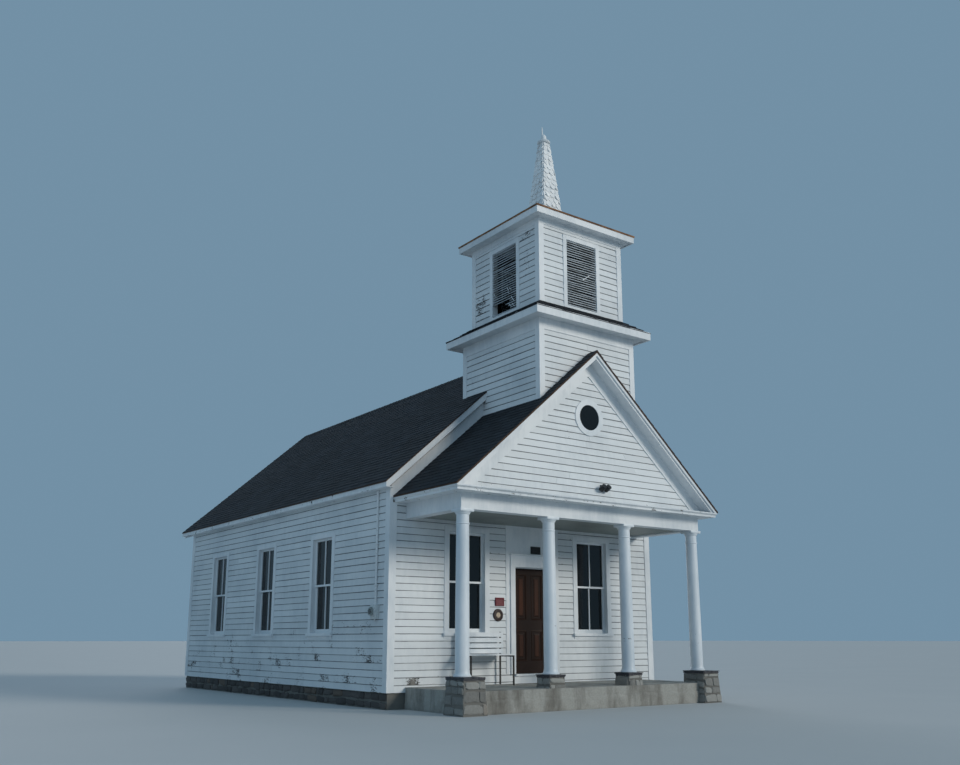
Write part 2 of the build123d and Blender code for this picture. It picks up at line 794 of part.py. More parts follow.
# Columns: flared foot on a thin plinth, tapered shaft, necking ring, echinus and square abacus
col_foot_z = pier_top_z + pier_cap_t
col_head_z = beam_foot_z
shaft_foot_z = col_foot_z + plinth_h + base_flare_h
echinus_foot_z = col_head_z - abacus_t - echinus_h
ring_z = echinus_foot_z - neck_below
flare_foot_z = col_foot_z + plinth_h
column_rings = (
    (base_flare_d, col_foot_z),
    (base_flare_d, flare_foot_z),
    (base_flare_mid_d, flare_foot_z + base_flare_mid_h),
    (col_foot_d, shaft_foot_z),
    (col_top_d, ring_z),
    (neck_ring_d, ring_z + neck_ring_h / 2),
    (col_top_d, ring_z + neck_ring_h),
    (col_top_d, echinus_foot_z),
    (echinus_mid_d, echinus_foot_z + echinus_mid_h),
    (abacus_w, echinus_foot_z + echinus_h),
)
with BuildPart() as porch_columns:
    for x in col_x:
        turned(x, col_y, column_rings)
        with Locations((x, col_y, col_head_z)):
            Box(abacus_w, abacus_w, abacus_t, align=(Align.CENTER, Align.CENTER, Align.MAX))
save(porch_columns, "porch_columns")


def porch_ring(outer_x, outer_y, inner_x, inner_y, foot, head):
    """A level band round the three open sides of the porch."""
    with Locations((0, front_y, foot)):
        Box(2 * outer_x, front_y - outer_y, head - foot, align=(Align.CENTER, Align.MAX, Align.MIN))
    with Locations((0, front_y, foot)):
        Box(2 * inner_x, front_y - inner_y, head - foot, align=(Align.CENTER, Align.MAX, Align.MIN),
            mode=Mode.SUBTRACT)


# Boxed beam over the columns
beam_in_x = beam_x - beam_w
beam_in_y = beam_face_y + beam_w
with BuildPart() as porch_beam:
    porch_ring(beam_x, beam_face_y, beam_in_x, beam_in_y, beam_foot_z, cornice_foot_z)
save(porch_beam, "porch_beam")

# Boarded ceiling between the beams
with BuildPart() as porch_ceiling:
    with Locations((0, front_y, ceiling_z)):
        Box(2 * beam_in_x, front_y - beam_in_y, ceiling_t, align=(Align.CENTER, Align.MAX, Align.MIN))
save(porch_ceiling, "porch_ceiling")

# Level cornice of the pediment and the porch eaves, with a crown along its upper edge
with BuildPart() as pediment_cornice:
    crown_x = porch_eave_x - roof_lip
    crown_y = front_y - porch_front + roof_lip
    corona_x = crown_x - crown_reach
    corona_y = crown_y + crown_reach
    with Locations((0, front_y, cornice_foot_z)):
        Box(2 * corona_x, front_y - corona_y, cornice_top_z - cornice_foot_z,
            align=(Align.CENTER, Align.MAX, Align.MIN))
    with Locations((0, front_y, cornice_top_z)):
        Box(2 * crown_x, front_y - crown_y, crown_h, align=(Align.CENTER, Align.MAX, Align.MAX))
    crown_edges = [
        edge for edge in pediment_cornice.edges()
        if abs(edge.center().Z - (cornice_top_z - crown_h)) < 1
        and (abs(edge.center().X) > crown_x - 1 or edge.center().Y < crown_y + 1)
    ]
    chamfer(crown_edges, crown_reach * 0.8)
    with Locations((0, front_y, cornice_foot_z)):
        Box(2 * beam_in_x, front_y - beam_in_y, cornice_top_z - cornice_foot_z,
            align=(Align.CENTER, Align.MAX, Align.MIN), mode=Mode.SUBTRACT)
save(pediment_cornice, "pediment_cornice")

# Porch roof: rafters and boards behind the pediment, thin boards over its raking cornice
porch_meet_x = porch_eave_x - (porch_drop - roof_edge_t) / porch_pitch
boards_meet_x = porch_eave_x - (boards_drop - roof_edge_t) / porch_pitch
with BuildPart() as porch_roof:
    for meet_x, drop, y_from, y_to in (
        (porch_meet_x, porch_drop, beam_face_y, front_y),
        (boards_meet_x, boards_drop, front_y - porch_front, beam_face_y),
    ):
        section = across(
            y_from,
            (-porch_eave_x, porch_edge_z),
            (-porch_eave_x, cornice_top_z),
            (-meet_x, cornice_top_z),
            (0, porch_top(0) - drop),
            (meet_x, cornice_top_z),
            (porch_eave_x, cornice_top_z),
            (porch_eave_x, porch_edge_z),
            (0, porch_top(0)),
        )
        extrude(section, amount=y_from - y_to)
save(porch_roof, "porch_roof")

# Pediment wall with its round window
with BuildPart() as pediment_wall:
    section = across(
        beam_face_y,
        (-porch_meet_x, cornice_top_z),
        (porch_meet_x, cornice_top_z),
        (0, porch_under(0)),
    )
    extrude(section, amount=-pediment_wall_t)
    with BuildSketch(round_plane) as hole:
        Circle(round_glass_r + round_rim_w)
    extrude(hole.sketch, amount=-pediment_wall_t, mode=Mode.SUBTRACT)
save(pediment_wall, "pediment_wall")

# Raking cornice of the pediment with its crown, and the wide frieze boards on the wall under it
raking_drop = raking_cornice_h * hypot(1, porch_pitch)
rake_frieze_drop = rake_frieze_w * hypot(1, porch_pitch)
crown_drop = crown_h * hypot(1, porch_pitch)


def pediment_band(y_from, y_to, top_drop, foot_drop):
    """A gable-shaped band under the thin boards, dying onto the level cornice."""
    out_x = porch_eave_x - (top_drop - roof_edge_t) / porch_pitch
    in_x = porch_eave_x - (foot_drop - roof_edge_t) / porch_pitch
    section = across(
        y_from,
        (-out_x, cornice_top_z),
        (-in_x, cornice_top_z),
        (0, porch_top(0) - foot_drop),
        (in_x, cornice_top_z),
        (out_x, cornice_top_z),
        (0, porch_top(0) - top_drop),
    )
    extrude(section, amount=y_from - y_to)


with BuildPart() as pediment_rakes:
    rake_face_y = crown_y
    pediment_band(rake_face_y + crown_reach, beam_face_y, boards_drop, boards_drop + raking_drop)
    pediment_band(rake_face_y, rake_face_y + crown_reach, boards_drop, boards_drop + crown_drop)
    frieze_top = boards_drop + raking_drop
    pediment_band(beam_face_y - rake_frieze_t, beam_face_y, frieze_top, frieze_top + rake_frieze_drop)
save(pediment_rakes, "pediment_rakes")

# Round window: flat casing ring on the wall and a rim through it
with BuildPart() as round_window:
    with BuildSketch(round_plane) as casing_ring:
        Circle(round_glass_r + round_casing_w)
        Circle(round_glass_r, mode=Mode.SUBTRACT)
    extrude(casing_ring.sketch, amount=round_casing_t)
    with BuildSketch(round_plane) as rim:
        Circle(round_glass_r + round_rim_w)
        Circle(round_glass_r, mode=Mode.SUBTRACT)
    extrude(rim.sketch, amount=-pediment_wall_t)
save(round_window, "round_window")

# Twin lamp on the pediment
with BuildPart() as pediment_light:
    with Locations((light_x, beam_face_y, light_z)):
        Box(light_box, light_box_t, light_box, align=(Align.CENTER, Align.MAX, Align.CENTER))
    for x in mirrored_x(light_head_x):
        head_at = (light_x + x, beam_face_y - light_head_y, light_z - light_head_down)
        with Locations(Location(head_at, (light_head_tilt, 0, 0))):
            Cylinder(light_head_r, light_head_l)
save(pediment_light, "pediment_light")

# Electricity meter: box, round glass dome and conduit up to the soffit
meter_x = -wall_x - meter_box_t
conduit_head_z = soffit_foot_z
with BuildPart() as electric_meter:
    with Locations((-wall_x, front_y + meter_y, meter_z)):
        Box(meter_box_t, meter_box_w, meter_box_h, align=(Align.MAX, Align.CENTER, Align.CENTER))
    with BuildSketch(Plane(origin=(meter_x, front_y + meter_y, meter_z), z_dir=(-1, 0, 0))) as dome:
        Circle(meter_dome_r)
    extrude(dome.sketch, amount=meter_dome_t, taper=meter_dome_taper)
    with Locations((-wall_x - conduit_r, front_y + meter_y, meter_z + meter_box_h / 2)):
        conduit_l = conduit_head_z - meter_z - meter_box_h / 2
        Cylinder(conduit_r, conduit_l, align=(Align.CENTER, Align.CENTER, Align.MIN))
save(electric_meter, "electric_meter")

# Slatted bench against the wall, left of the door
bench_mid_x = bench_right_x - bench_w / 2
bench_back_y = front_y - bench_back_gap
bench_front_y = bench_back_y - bench_seat_d
seat_z = slab_top_z + bench_seat_h
seat_pitch = (bench_seat_d - bench_slat_t) / bench_seat_slats
back_pitch = (bench_back_h - bench_seat_h) / bench_back_slats
with BuildPart() as bench_slats:
    for i in range(bench_seat_slats):
        with Locations((bench_mid_x, bench_front_y + seat_pitch * (i + 1 / 2), seat_z)):
            Box(bench_w, bench_seat_slat_w, bench_slat_t, align=(Align.CENTER, Align.CENTER, Align.MAX))
    for i in range(bench_back_slats):
        with Locations((bench_mid_x, bench_back_y - bench_slat_t, seat_z + back_pitch * (i + 1 / 2))):
            Box(bench_w, bench_slat_t, bench_back_slat_w, align=(Align.CENTER, Align.MAX, Align.CENTER))
save(bench_slats, "bench_slats")

with BuildPart() as bench_frame:
    for x in (bench_mid_x - bench_w / 2 + bench_inset, bench_mid_x + bench_w / 2 - bench_inset):
        with Locations((x, bench_back_y, slab_top_z)):
            Box(bench_leg_t, bench_slat_t, bench_back_h, align=(Align.CENTER, Align.MAX, Align.MIN))
        with Locations((x, bench_front_y, slab_top_z)):
            leg_h = bench_seat_h - bench_slat_t
            Box(bench_leg_t, bench_leg_t, leg_h, align=(Align.CENTER, Align.MIN, Align.MIN))
        with Locations((x, bench_front_y, seat_z - bench_slat_t)):
            rail_l = bench_seat_d - bench_slat_t
            Box(bench_leg_t, rail_l, bench_leg_t, align=(Align.CENTER, Align.MIN, Align.MAX))
save(bench_frame, "bench_frame")

# Lower stage of the tower, cut to the slopes of both roofs
tower_top_z = tower_cornice_top_z - deck_t
wall_foot_z = porch_edge_z
tower_wall_h = tower_top_z - wall_foot_z
with BuildPart() as tower_end_walls:
    for end in (-1, 1):
        with Locations((0, tower_y + end * (tower_half - tower_wall_t / 2), wall_foot_z)):
            Box(tower_w, tower_wall_t, tower_wall_h, align=(Align.CENTER, Align.CENTER, Align.MIN))
    cut_under_roofs()
save(tower_end_walls, "tower_end_walls")

with BuildPart() as tower_side_walls:
    for x in mirrored_x(tower_half - tower_wall_t / 2):
        with Locations((x, tower_y, wall_foot_z)):
            side_wall_l = tower_w - 2 * tower_wall_t
            Box(tower_wall_t, side_wall_l, tower_wall_h, align=(Align.CENTER, Align.CENTER, Align.MIN))
    cut_under_roofs()
save(tower_side_walls, "tower_side_walls")


def stepped_lid(foot_z, top_z, half, reach, crown_height, crown_out, wall_top_z):
    """A cornice all round a square stage, with a deck over its walls and a crown under the roof's lip."""
    crown_half = half + reach - roof_lip
    for lid_half, low in ((crown_half - crown_out, foot_z), (crown_half, top_z - crown_height)):
        with Locations((0, tower_y, low)):
            Box(2 * lid_half, 2 * lid_half, top_z - low, align=(Align.CENTER, Align.CENTER, Align.MIN))
    with Locations((0, tower_y, foot_z)):
        Box(2 * half, 2 * half, wall_top_z - foot_z, align=(Align.CENTER, Align.CENTER, Align.MIN),
            mode=Mode.SUBTRACT)


with BuildPart() as tower_cornice:
    stepped_lid(tower_cornice_foot_z, tower_cornice_top_z, tower_half, tower_cornice_reach,
                tower_crown_h, tower_crown_reach, tower_top_z)
save(tower_cornice, "tower_cornice")

# Sloping skirt roof round the foot of the belfry
with BuildPart() as skirt_roof:
    hipped(tower_cornice_top_z, skirt_top_z, tower_w + 2 * tower_cornice_reach, belfry_w, tower_y)
    with Locations((0, tower_y, tower_cornice_top_z)):
        Box(belfry_w, belfry_w, skirt_top_z - tower_cornice_top_z,
            align=(Align.CENTER, Align.CENTER, Align.MIN), mode=Mode.SUBTRACT)
save(skirt_roof, "skirt_roof")


def frieze_boards(half, foot_z, head_z):
    """Four boards round a square stage, between its corner boards."""
    board_l = 2 * (half - tower_board_w)
    board_h = head_z - foot_z
    for side in (-1, 1):
        with Locations((0, tower_y + side * (half + tower_board_t / 2), foot_z)):
            Box(board_l, tower_board_t, board_h, align=(Align.CENTER, Align.CENTER, Align.MIN))
        with Locations((side * (half + tower_board_t / 2), tower_y, foot_z)):
            Box(tower_board_t, board_l, board_h, align=(Align.CENTER, Align.CENTER, Align.MIN))


# Frieze boards under the cornices of both stages; the ridge of the main roof cuts into the rear one
with BuildPart() as tower_friezes:
    frieze_boards(tower_half, tower_cornice_foot_z - tower_frieze_h, tower_cornice_foot_z)
    cut_under_roofs()
    frieze_boards(belfry_half, belfry_cornice_foot_z - belfry_frieze_h, belfry_cornice_foot_z)
save(tower_friezes, "tower_friezes")

# Belfry walls, each with a tall louvred opening
belfry_top_z = belfry_cornice_top_z - deck_t


def belfry_plane(turn):
    """The outside face of one belfry wall: turn counts quarter turns from the front."""
    out = Vector(0, -1, 0).rotate(Axis.Z, 90 * turn)
    along = Vector(1, 0, 0).rotate(Axis.Z, 90 * turn)
    return Plane(origin=Vector(0, tower_y, 0) + out * belfry_half, x_dir=along, z_dir=out)


frame_hole_w = louvre_w + 2 * louvre_frame_t
frame_foot_z = louvre_foot_z - louvre_frame_t
frame_head_z = louvre_head_z + louvre_frame_t
for name, turns, width in (
    ("belfry_end_walls", (0, 2), belfry_w),
    ("belfry_side_walls", (1, 3), belfry_w - 2 * belfry_wall_t),
):
    with BuildPart() as belfry_walls:
        for turn in turns:
            plane = belfry_plane(turn)
            extrude(window_plan(width, tower_cornice_top_z, belfry_top_z, plane), amount=-belfry_wall_t)
            extrude(window_plan(frame_hole_w, frame_foot_z, frame_head_z, plane), amount=-belfry_wall_t,
                    mode=Mode.SUBTRACT)
    save(belfry_walls, name)

# White casings and frames of the four louvres
slat_pitch = louvre_h / slat_count
with BuildPart() as louvre_casings:
    for turn in range(4):
        plane = belfry_plane(turn)
        casing_w_all = louvre_w + 2 * louvre_casing_w
        extrude(window_plan(casing_w_all, skirt_top_z, louvre_head_z + louvre_casing_w, plane),
                amount=louvre_casing_t)
        extrude(window_plan(frame_hole_w, frame_foot_z, frame_head_z, plane), amount=-belfry_wall_t)
        extrude(window_plan(louvre_w, louvre_foot_z, louvre_head_z, plane.offset(louvre_casing_t)),
                amount=-(louvre_casing_t + belfry_wall_t), mode=Mode.SUBTRACT)
save(louvre_casings, "louvre_casings")

# Slats that lean outward; the left louvre has lost three near its foot
with BuildPart() as belfry_louvres:
    for turn in range(4):
        plane = belfry_plane(turn)
        kept = [i for i in range(slat_count) if turn != 3 or i not in lost_slats]
        section_plane = Plane(
            origin=plane.origin - plane.z_dir * (belfry_wall_t / 2) - plane.x_dir * (louvre_w / 2)
            + Vector(0, 0, louvre_foot_z),
            x_dir=plane.z_dir,
            z_dir=plane.x_dir,
        )
        with BuildSketch(section_plane) as slat_ends:
            with Locations(*[(0, -slat_pitch * (i + 1 / 2)) for i in kept]):
                Rectangle(slat_depth, slat_t, rotation=slat_angle)
        extrude(slat_ends.sketch, amount=louvre_w)
save(belfry_louvres, "belfry_louvres")

with BuildPart() as belfry_cornice:
    stepped_lid(belfry_cornice_foot_z, belfry_cornice_top_z, belfry_half, belfry_cornice_reach,
                belfry_crown_h, belfry_crown_reach, belfry_top_z)
save(belfry_cornice, "belfry_cornice")

# Low hipped roof, and the tapering spire on it
with BuildPart() as belfry_roof:
    hipped(belfry_cornice_top_z, spire_foot_z, belfry_w + 2 * belfry_cornice_reach, spire_foot_w, tower_y)
save(belfry_roof, "belfry_roof")

with BuildPart() as spire:
    spire_slant = degrees(atan((spire_foot_w - spire_top_w) / 2 / spire_h))
    extrude(square_at(spire_foot_z, spire_foot_w, tower_y), amount=spire_h, taper=spire_slant)
save(spire, "spire")

# Finial: round collar, turned urn and a spike that stands off its middle
urn_z = spire_top_z + collar_h
spike_foot_z = urn_z + spike_foot_h
spike_h = spire_top_z + finial_h - spike_foot_z
with BuildPart() as finial:
    turned(0, tower_y, ((collar_d, spire_top_z), (collar_d, urn_z)))
    turned(0, tower_y, [(width, urn_z + height) for width, height in urn_rings])
    spike_rings = ((spike_foot_d, spike_foot_z), (spike_top_d, spike_foot_z + spike_h))
    turned(spike_off_x, tower_y + spike_off_y, spike_rings)
save(finial, "finial")
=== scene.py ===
"""Small chapel: clapboards, shingles, stones, fittings and finishes round its frame. Metres throughout."""

import random
from math import ceil, cos, exp, hypot, pi, radians, sin, sqrt

import bmesh
import bpy
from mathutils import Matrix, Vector, noise


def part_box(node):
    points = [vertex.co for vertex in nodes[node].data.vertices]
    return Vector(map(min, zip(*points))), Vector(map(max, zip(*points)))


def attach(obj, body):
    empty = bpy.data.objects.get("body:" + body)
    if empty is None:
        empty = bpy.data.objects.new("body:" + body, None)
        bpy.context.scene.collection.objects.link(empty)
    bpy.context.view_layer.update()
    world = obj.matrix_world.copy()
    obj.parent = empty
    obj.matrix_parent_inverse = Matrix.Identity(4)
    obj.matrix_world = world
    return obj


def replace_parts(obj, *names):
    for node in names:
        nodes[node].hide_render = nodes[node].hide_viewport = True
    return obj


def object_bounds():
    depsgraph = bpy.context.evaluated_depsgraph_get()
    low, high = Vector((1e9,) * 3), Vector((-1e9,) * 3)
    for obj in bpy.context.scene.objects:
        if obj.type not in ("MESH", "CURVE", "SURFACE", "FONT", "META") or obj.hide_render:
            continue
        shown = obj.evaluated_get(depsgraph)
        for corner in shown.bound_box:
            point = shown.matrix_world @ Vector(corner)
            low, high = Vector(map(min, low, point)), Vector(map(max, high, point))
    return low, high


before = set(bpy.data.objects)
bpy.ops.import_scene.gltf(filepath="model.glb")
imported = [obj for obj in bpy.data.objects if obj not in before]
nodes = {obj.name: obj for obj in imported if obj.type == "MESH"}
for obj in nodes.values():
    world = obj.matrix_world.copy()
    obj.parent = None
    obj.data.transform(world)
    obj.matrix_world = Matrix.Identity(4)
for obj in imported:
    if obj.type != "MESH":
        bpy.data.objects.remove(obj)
cad_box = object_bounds()


def edge_top(name, x):
    """Highest level that a node has on the upright plane at x."""
    return max(v.co.z for v in nodes[name].data.vertices if abs(v.co.x - x) < 1e-4)


UP = Vector((0, 0, 1))
FORWARD = Vector((0, -1, 0))

# Faces and levels of the building, read from its own pieces
EDGE_T = 0.022
wall_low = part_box("front_wall_left")[0]
front_y = wall_low.y
sill_z = wall_low.z
wall_x = -wall_low.x
rear_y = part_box("rear_wall")[1].y
roof_low, roof_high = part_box("main_roof_left")
eave_x = -roof_low.x
eave_z = edge_top("main_roof_left", roof_low.x)
ridge_z = roof_high.z
main_pitch = (ridge_z - eave_z) / eave_x
soffit_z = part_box("main_eaves")[0].z
porch_low, porch_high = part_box("porch_roof")
porch_edge_z = edge_top("porch_roof", porch_low.x)
porch_pitch = (porch_high.z - porch_edge_z) / porch_high.x
ceiling_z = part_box("porch_ceiling")[0].z
tympanum_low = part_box("pediment_wall")[0]
beam_low, beam_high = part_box("porch_beam")
surround_low, surround_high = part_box("door_frame")
step_low, step_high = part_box("door_step")
tower_low, tower_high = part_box("tower_end_walls")
tower_half = tower_high.x
tower_y = (tower_low.y + tower_high.y) / 2
tower_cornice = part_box("tower_cornice")
belfry_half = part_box("belfry_end_walls")[1].x
belfry_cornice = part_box("belfry_cornice")
louvre_head_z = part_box("louvre_casings")[1].z
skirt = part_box("skirt_roof")
belfry_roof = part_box("belfry_roof")
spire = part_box("spire")
slab_low, slab_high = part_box("porch_slab")


def srgb(code):
    """A colour as on a paint card, turned linear."""
    channels = [int(code[i:i + 2], 16) / 255 for i in (1, 3, 5)]
    return tuple(c / 12.92 if c <= 0.04045 else ((c + 0.055) / 1.055) ** 2.4 for c in channels) + (1.0,)


def every(mm):
    """Scale of a pattern that repeats each so many millimetres."""
    return 1000 / mm


def add(tree, kind, inputs=None, out=None, **settings):
    """One shader node: its settings, and its inputs as values or as the outputs that feed them."""
    node = tree.nodes.new("ShaderNode" + kind)
    for key, value in settings.items():
        setattr(node, key, value)
    for key, value in (inputs or {}).items():
        socket = node.inputs[key] if isinstance(key, int) else next(
            s for s in node.inputs if s.enabled and key in (s.name, s.identifier))
        if isinstance(value, bpy.types.NodeSocket):
            tree.links.new(value, socket)
        else:
            socket.default_value = value
    return node.outputs[out] if out else next((s for s in node.outputs if s.enabled), None)


def start_finish(name):
    """A new material, its empty node tree and the coordinates of the piece it is on."""
    finish = bpy.data.materials.new(name)
    finish.use_nodes = True
    tree = finish.node_tree
    tree.nodes.clear()
    return finish, tree, add(tree, "TexCoord", out="Object")


def end_finish(finish, tree, **sockets):
    """The shader of a material, from its sockets by name, on the output."""
    inputs = {key.replace("_", " "): value for key, value in sockets.items()}
    shader = add(tree, "BsdfPrincipled", inputs)
    add(tree, "OutputMaterial", {"Surface": shader})
    return finish


def oil_paint(name, clean, grimy, flake_mm=13, roughness=0.5, worn=0.0, butt_edges=False):
    """White oil paint brushed on pine and left to the weather: chalky, faintly uneven, dirty in
    patches, and flaked off to dark wood where a piece is worn, silver where it has been bare longest."""
    finish, tree, at = start_finish(name)
    tone = add(tree, "Attribute", out="Fac", attribute_name="tone")
    wear = add(tree, "Attribute", out="Fac", attribute_name="wear")
    # Grime lies in patches a metre across, with rain marks 90 mm wide inside them
    patches = add(tree, "TexNoise", {"Vector": at, "Scale": every(1100), "Detail": 3.0})
    downward = add(tree, "Mapping", {"Vector": at, "Scale": (1, 1, 0.3)})
    marks = add(tree, "TexNoise", {"Vector": downward, "Scale": every(90), "Detail": 4.0, "Roughness": 0.6})
    both = add(tree, "Mix", {"Factor": 0.3, "A": patches, "B": marks}, data_type="FLOAT")
    grime = add(tree, "MapRange", {"Value": both, "From Min": 0.44, "From Max": 0.66})
    paint = add(tree, "Mix", {"Factor": grime, "A": srgb(clean), "B": srgb(grimy)}, data_type="RGBA")
    shade = add(tree, "MapRange", {"Value": tone, "To Min": 1.03, "To Max": 0.93})
    paint = add(tree, "HueSaturation", {"Color": paint, "Value": shade})
    # Flakes come off in ragged spots four times as long along the boards as across them, board by board
    along = add(tree, "Mapping", {"Vector": at, "Scale": (0.25, 0.25, 1)})
    spots = add(tree, "TexNoise", {"Vector": along, "Scale": every(flake_mm), "Detail": 4.0, "Roughness": 0.7})
    groups = add(tree, "TexNoise", {"Vector": at, "Scale": every(230), "Detail": 3.0})
    chance = add(tree, "Mix", {"Factor": 0.42, "A": spots, "B": groups}, data_type="FLOAT")
    board = add(tree, "MapRange", {"Value": tone, "To Min": -0.04, "To Max": 0.04})
    chance = add(tree, "Math", {0: chance, 1: board}, operation="ADD")
    if butt_edges:
        # Paint goes first within 15 mm of the butt of each clapboard
        reveal = add(tree, "Attribute", out="Fac", attribute_name="reveal")
        butt = add(tree, "MapRange", {"Value": reveal, "From Max": 0.12, "To Min": 0.06, "To Max": 0.0})
        chance = add(tree, "Math", {0: chance, 1: butt}, operation="ADD")
    limit = add(tree, "MapRange", {"Value": wear, "To Min": 0.78 - 0.26 * worn, "To Max": 0.42})
    bare = add(tree, "Math", {0: chance, 1: limit}, operation="GREATER_THAN")
    grain = add(tree, "TexNoise", {"Vector": along, "Scale": every(9), "Detail": 3.0})
    wood = add(tree, "Mix", {"Factor": grain, "A": srgb("#6f6d6b"), "B": srgb("#2b2b2d")}, data_type="RGBA")
    silver = add(tree, "Mix", {"Factor": grain, "A": srgb("#9b9892"), "B": srgb("#57544f")}, data_type="RGBA")
    longest = add(tree, "MapRange", {"Value": wear, "From Min": 0.74, "From Max": 0.86})
    wood = add(tree, "Mix", {"Factor": longest, "A": wood, "B": silver}, data_type="RGBA")
    colour = add(tree, "Mix", {"Factor": bare, "A": paint, "B": wood}, data_type="RGBA")
    if butt_edges:
        # Painted shadow with some damp dirt: the top 17 to 22 mm of each face is darkened, where the board above
        # shades it
        uneven = add(tree, "TexNoise", {"Vector": at, "Scale": every(320), "Detail": 4.0})
        line = add(tree, "MapRange", {
            "Value": uneven, "From Min": 0.3, "From Max": 0.7, "To Min": 0.865, "To Max": 0.825})
        edge = add(tree, "Math", {0: reveal, 1: line}, operation="SUBTRACT")
        lap_shadow_and_dirt = add(tree, "MapRange", {"Value": edge, "From Min": -0.015, "From Max": 0.03, "To Max": 0.88})
        colour = add(tree, "Mix", {"Factor": lap_shadow_and_dirt, "A": colour, "B": srgb("#323b43")}, data_type="RGBA")
    rough = add(tree, "Mix", {"Factor": bare, "A": roughness, "B": 0.92}, data_type="FLOAT")
    brushed = add(tree, "TexNoise", {"Vector": along, "Scale": every(14), "Detail": 2.0})
    height = add(tree, "Math", {0: brushed, 1: bare}, operation="SUBTRACT")
    relief = add(tree, "Bump", {"Height": height, "Strength": 0.25, "Distance": 0.002})
    return end_finish(finish, tree, Base_Color=colour, Roughness=rough, Normal=relief, IOR=1.48)


def asphalt_shingle():
    """Asphalt felt faced with crushed slate granules: black with a cold cast, dead matte."""
    finish, tree, at = start_finish("asphalt_shingle")
    tone = add(tree, "Attribute", out="Fac", attribute_name="tone")
    # Granules are 1.5 mm, drawn 12 mm so that they show from afar
    granules = add(tree, "TexNoise", {"Vector": at, "Scale": every(12), "Detail": 2.0})
    weather = add(tree, "TexNoise", {"Vector": at, "Scale": every(1300), "Detail": 4.0})
    shade = add(tree, "Mix", {"Factor": 0.6, "A": granules, "B": tone}, data_type="FLOAT")
    colour = add(tree, "Mix", {"Factor": shade, "A": srgb("#101318"), "B": srgb("#2b2f36")}, data_type="RGBA")
    fade = add(tree, "MapRange", {
        "Value": weather, "From Min": 0.35, "From Max": 0.7, "To Min": 0.85, "To Max": 1.25})
    colour = add(tree, "HueSaturation", {"Color": colour, "Value": fade})
    grit = add(tree, "Bump", {"Height": granules, "Strength": 0.5, "Distance": 0.002})
    return end_finish(finish, tree, Base_Color=colour, Roughness=0.93, Normal=grit, IOR=1.5)


def fieldstone(name, pale, dark):
    """Split granite and schist gathered from fields: grey, mottled, a few stones rusty."""
    finish, tree, at = start_finish(name)
    tone = add(tree, "Attribute", out="Fac", attribute_name="tone")
    mottle = add(tree, "TexNoise", {"Vector": at, "Scale": every(45), "Detail": 8.0, "Roughness": 0.7})
    speck = add(tree, "TexVoronoi", {"Vector": at, "Scale": every(9)})
    shade = add(tree, "Mix", {"Factor": 0.5, "A": mottle, "B": tone}, data_type="FLOAT")
    colour = add(tree, "Mix", {"Factor": shade, "A": srgb(dark), "B": srgb(pale)}, data_type="RGBA")
    rust = add(tree, "MapRange", {"Value": tone, "From Min": 0.82, "From Max": 0.86, "To Max": 0.45})
    colour = add(tree, "Mix", {"Factor": rust, "A": colour, "B": srgb("#6d5a48")}, data_type="RGBA")
    height = add(tree, "Mix", {"Factor": 0.25, "A": mottle, "B": speck}, data_type="FLOAT")
    relief = add(tree, "Bump", {"Height": height, "Strength": 0.7, "Distance": 0.008})
    return end_finish(finish, tree, Base_Color=colour, Roughness=0.9, Normal=relief, IOR=1.54)


def lime_mortar():
    """Lime and sand mortar struck rough between the stones: sandy grey, with damp patches."""
    finish, tree, at = start_finish("lime_mortar")
    sand = add(tree, "TexNoise", {"Vector": at, "Scale": every(7), "Detail": 4.0})
    damp = add(tree, "TexNoise", {"Vector": at, "Scale": every(350), "Detail": 3.0})
    shade = add(tree, "Mix", {"Factor": 0.5, "A": sand, "B": damp}, data_type="FLOAT")
    colour = add(tree, "Mix", {"Factor": shade, "A": srgb("#4b4a47"), "B": srgb("#8c8a84")}, data_type="RGBA")
    relief = add(tree, "Bump", {"Height": sand, "Strength": 0.6, "Distance": 0.004})
    return end_finish(finish, tree, Base_Color=colour, Roughness=0.95, Normal=relief, IOR=1.5)


def riven_slate():
    """Slate split by hand: nearly black, in thin ragged leaves."""
    finish, tree, at = start_finish("riven_slate")
    flat = add(tree, "Mapping", {"Vector": at, "Scale": (1, 1, 7)})
    leaves = add(tree, "TexNoise", {"Vector": flat, "Scale": every(60), "Detail": 7.0, "Roughness": 0.65})
    colour = add(tree, "Mix", {"Factor": leaves, "A": srgb("#23242a"), "B": srgb("#55545a")}, data_type="RGBA")
    relief = add(tree, "Bump", {"Height": leaves, "Strength": 0.8, "Distance": 0.006})
    return end_finish(finish, tree, Base_Color=colour, Roughness=0.7, Normal=relief, IOR=1.55)


def worn_concrete():
    """Concrete poured against boards and worn to its gravel: pale grey with brown water stains."""
    finish, tree, at = start_finish("worn_concrete")
    gravel = add(tree, "TexVoronoi", {"Vector": at, "Scale": every(18)})
    sand = add(tree, "TexNoise", {"Vector": at, "Scale": every(30), "Detail": 6.0})
    downward = add(tree, "Mapping", {"Vector": at, "Scale": (1, 1, 0.3)})
    stain = add(tree, "TexNoise", {"Vector": downward, "Scale": every(420), "Detail": 5.0, "Roughness": 0.65})
    body = add(tree, "Mix", {"Factor": sand, "A": srgb("#8b8a84"), "B": srgb("#b1b0aa")}, data_type="RGBA")
    soak = add(tree, "MapRange", {"Value": stain, "From Min": 0.45, "From Max": 0.68, "To Max": 0.75})
    colour = add(tree, "Mix", {"Factor": soak, "A": body, "B": srgb("#57524a")}, data_type="RGBA")
    height = add(tree, "Mix", {"Factor": 0.4, "A": sand, "B": gravel}, data_type="FLOAT")
    relief = add(tree, "Bump", {"Height": height, "Strength": 0.5, "Distance": 0.005})
    return end_finish(finish, tree, Base_Color=colour, Roughness=0.88, Normal=relief, IOR=1.5)


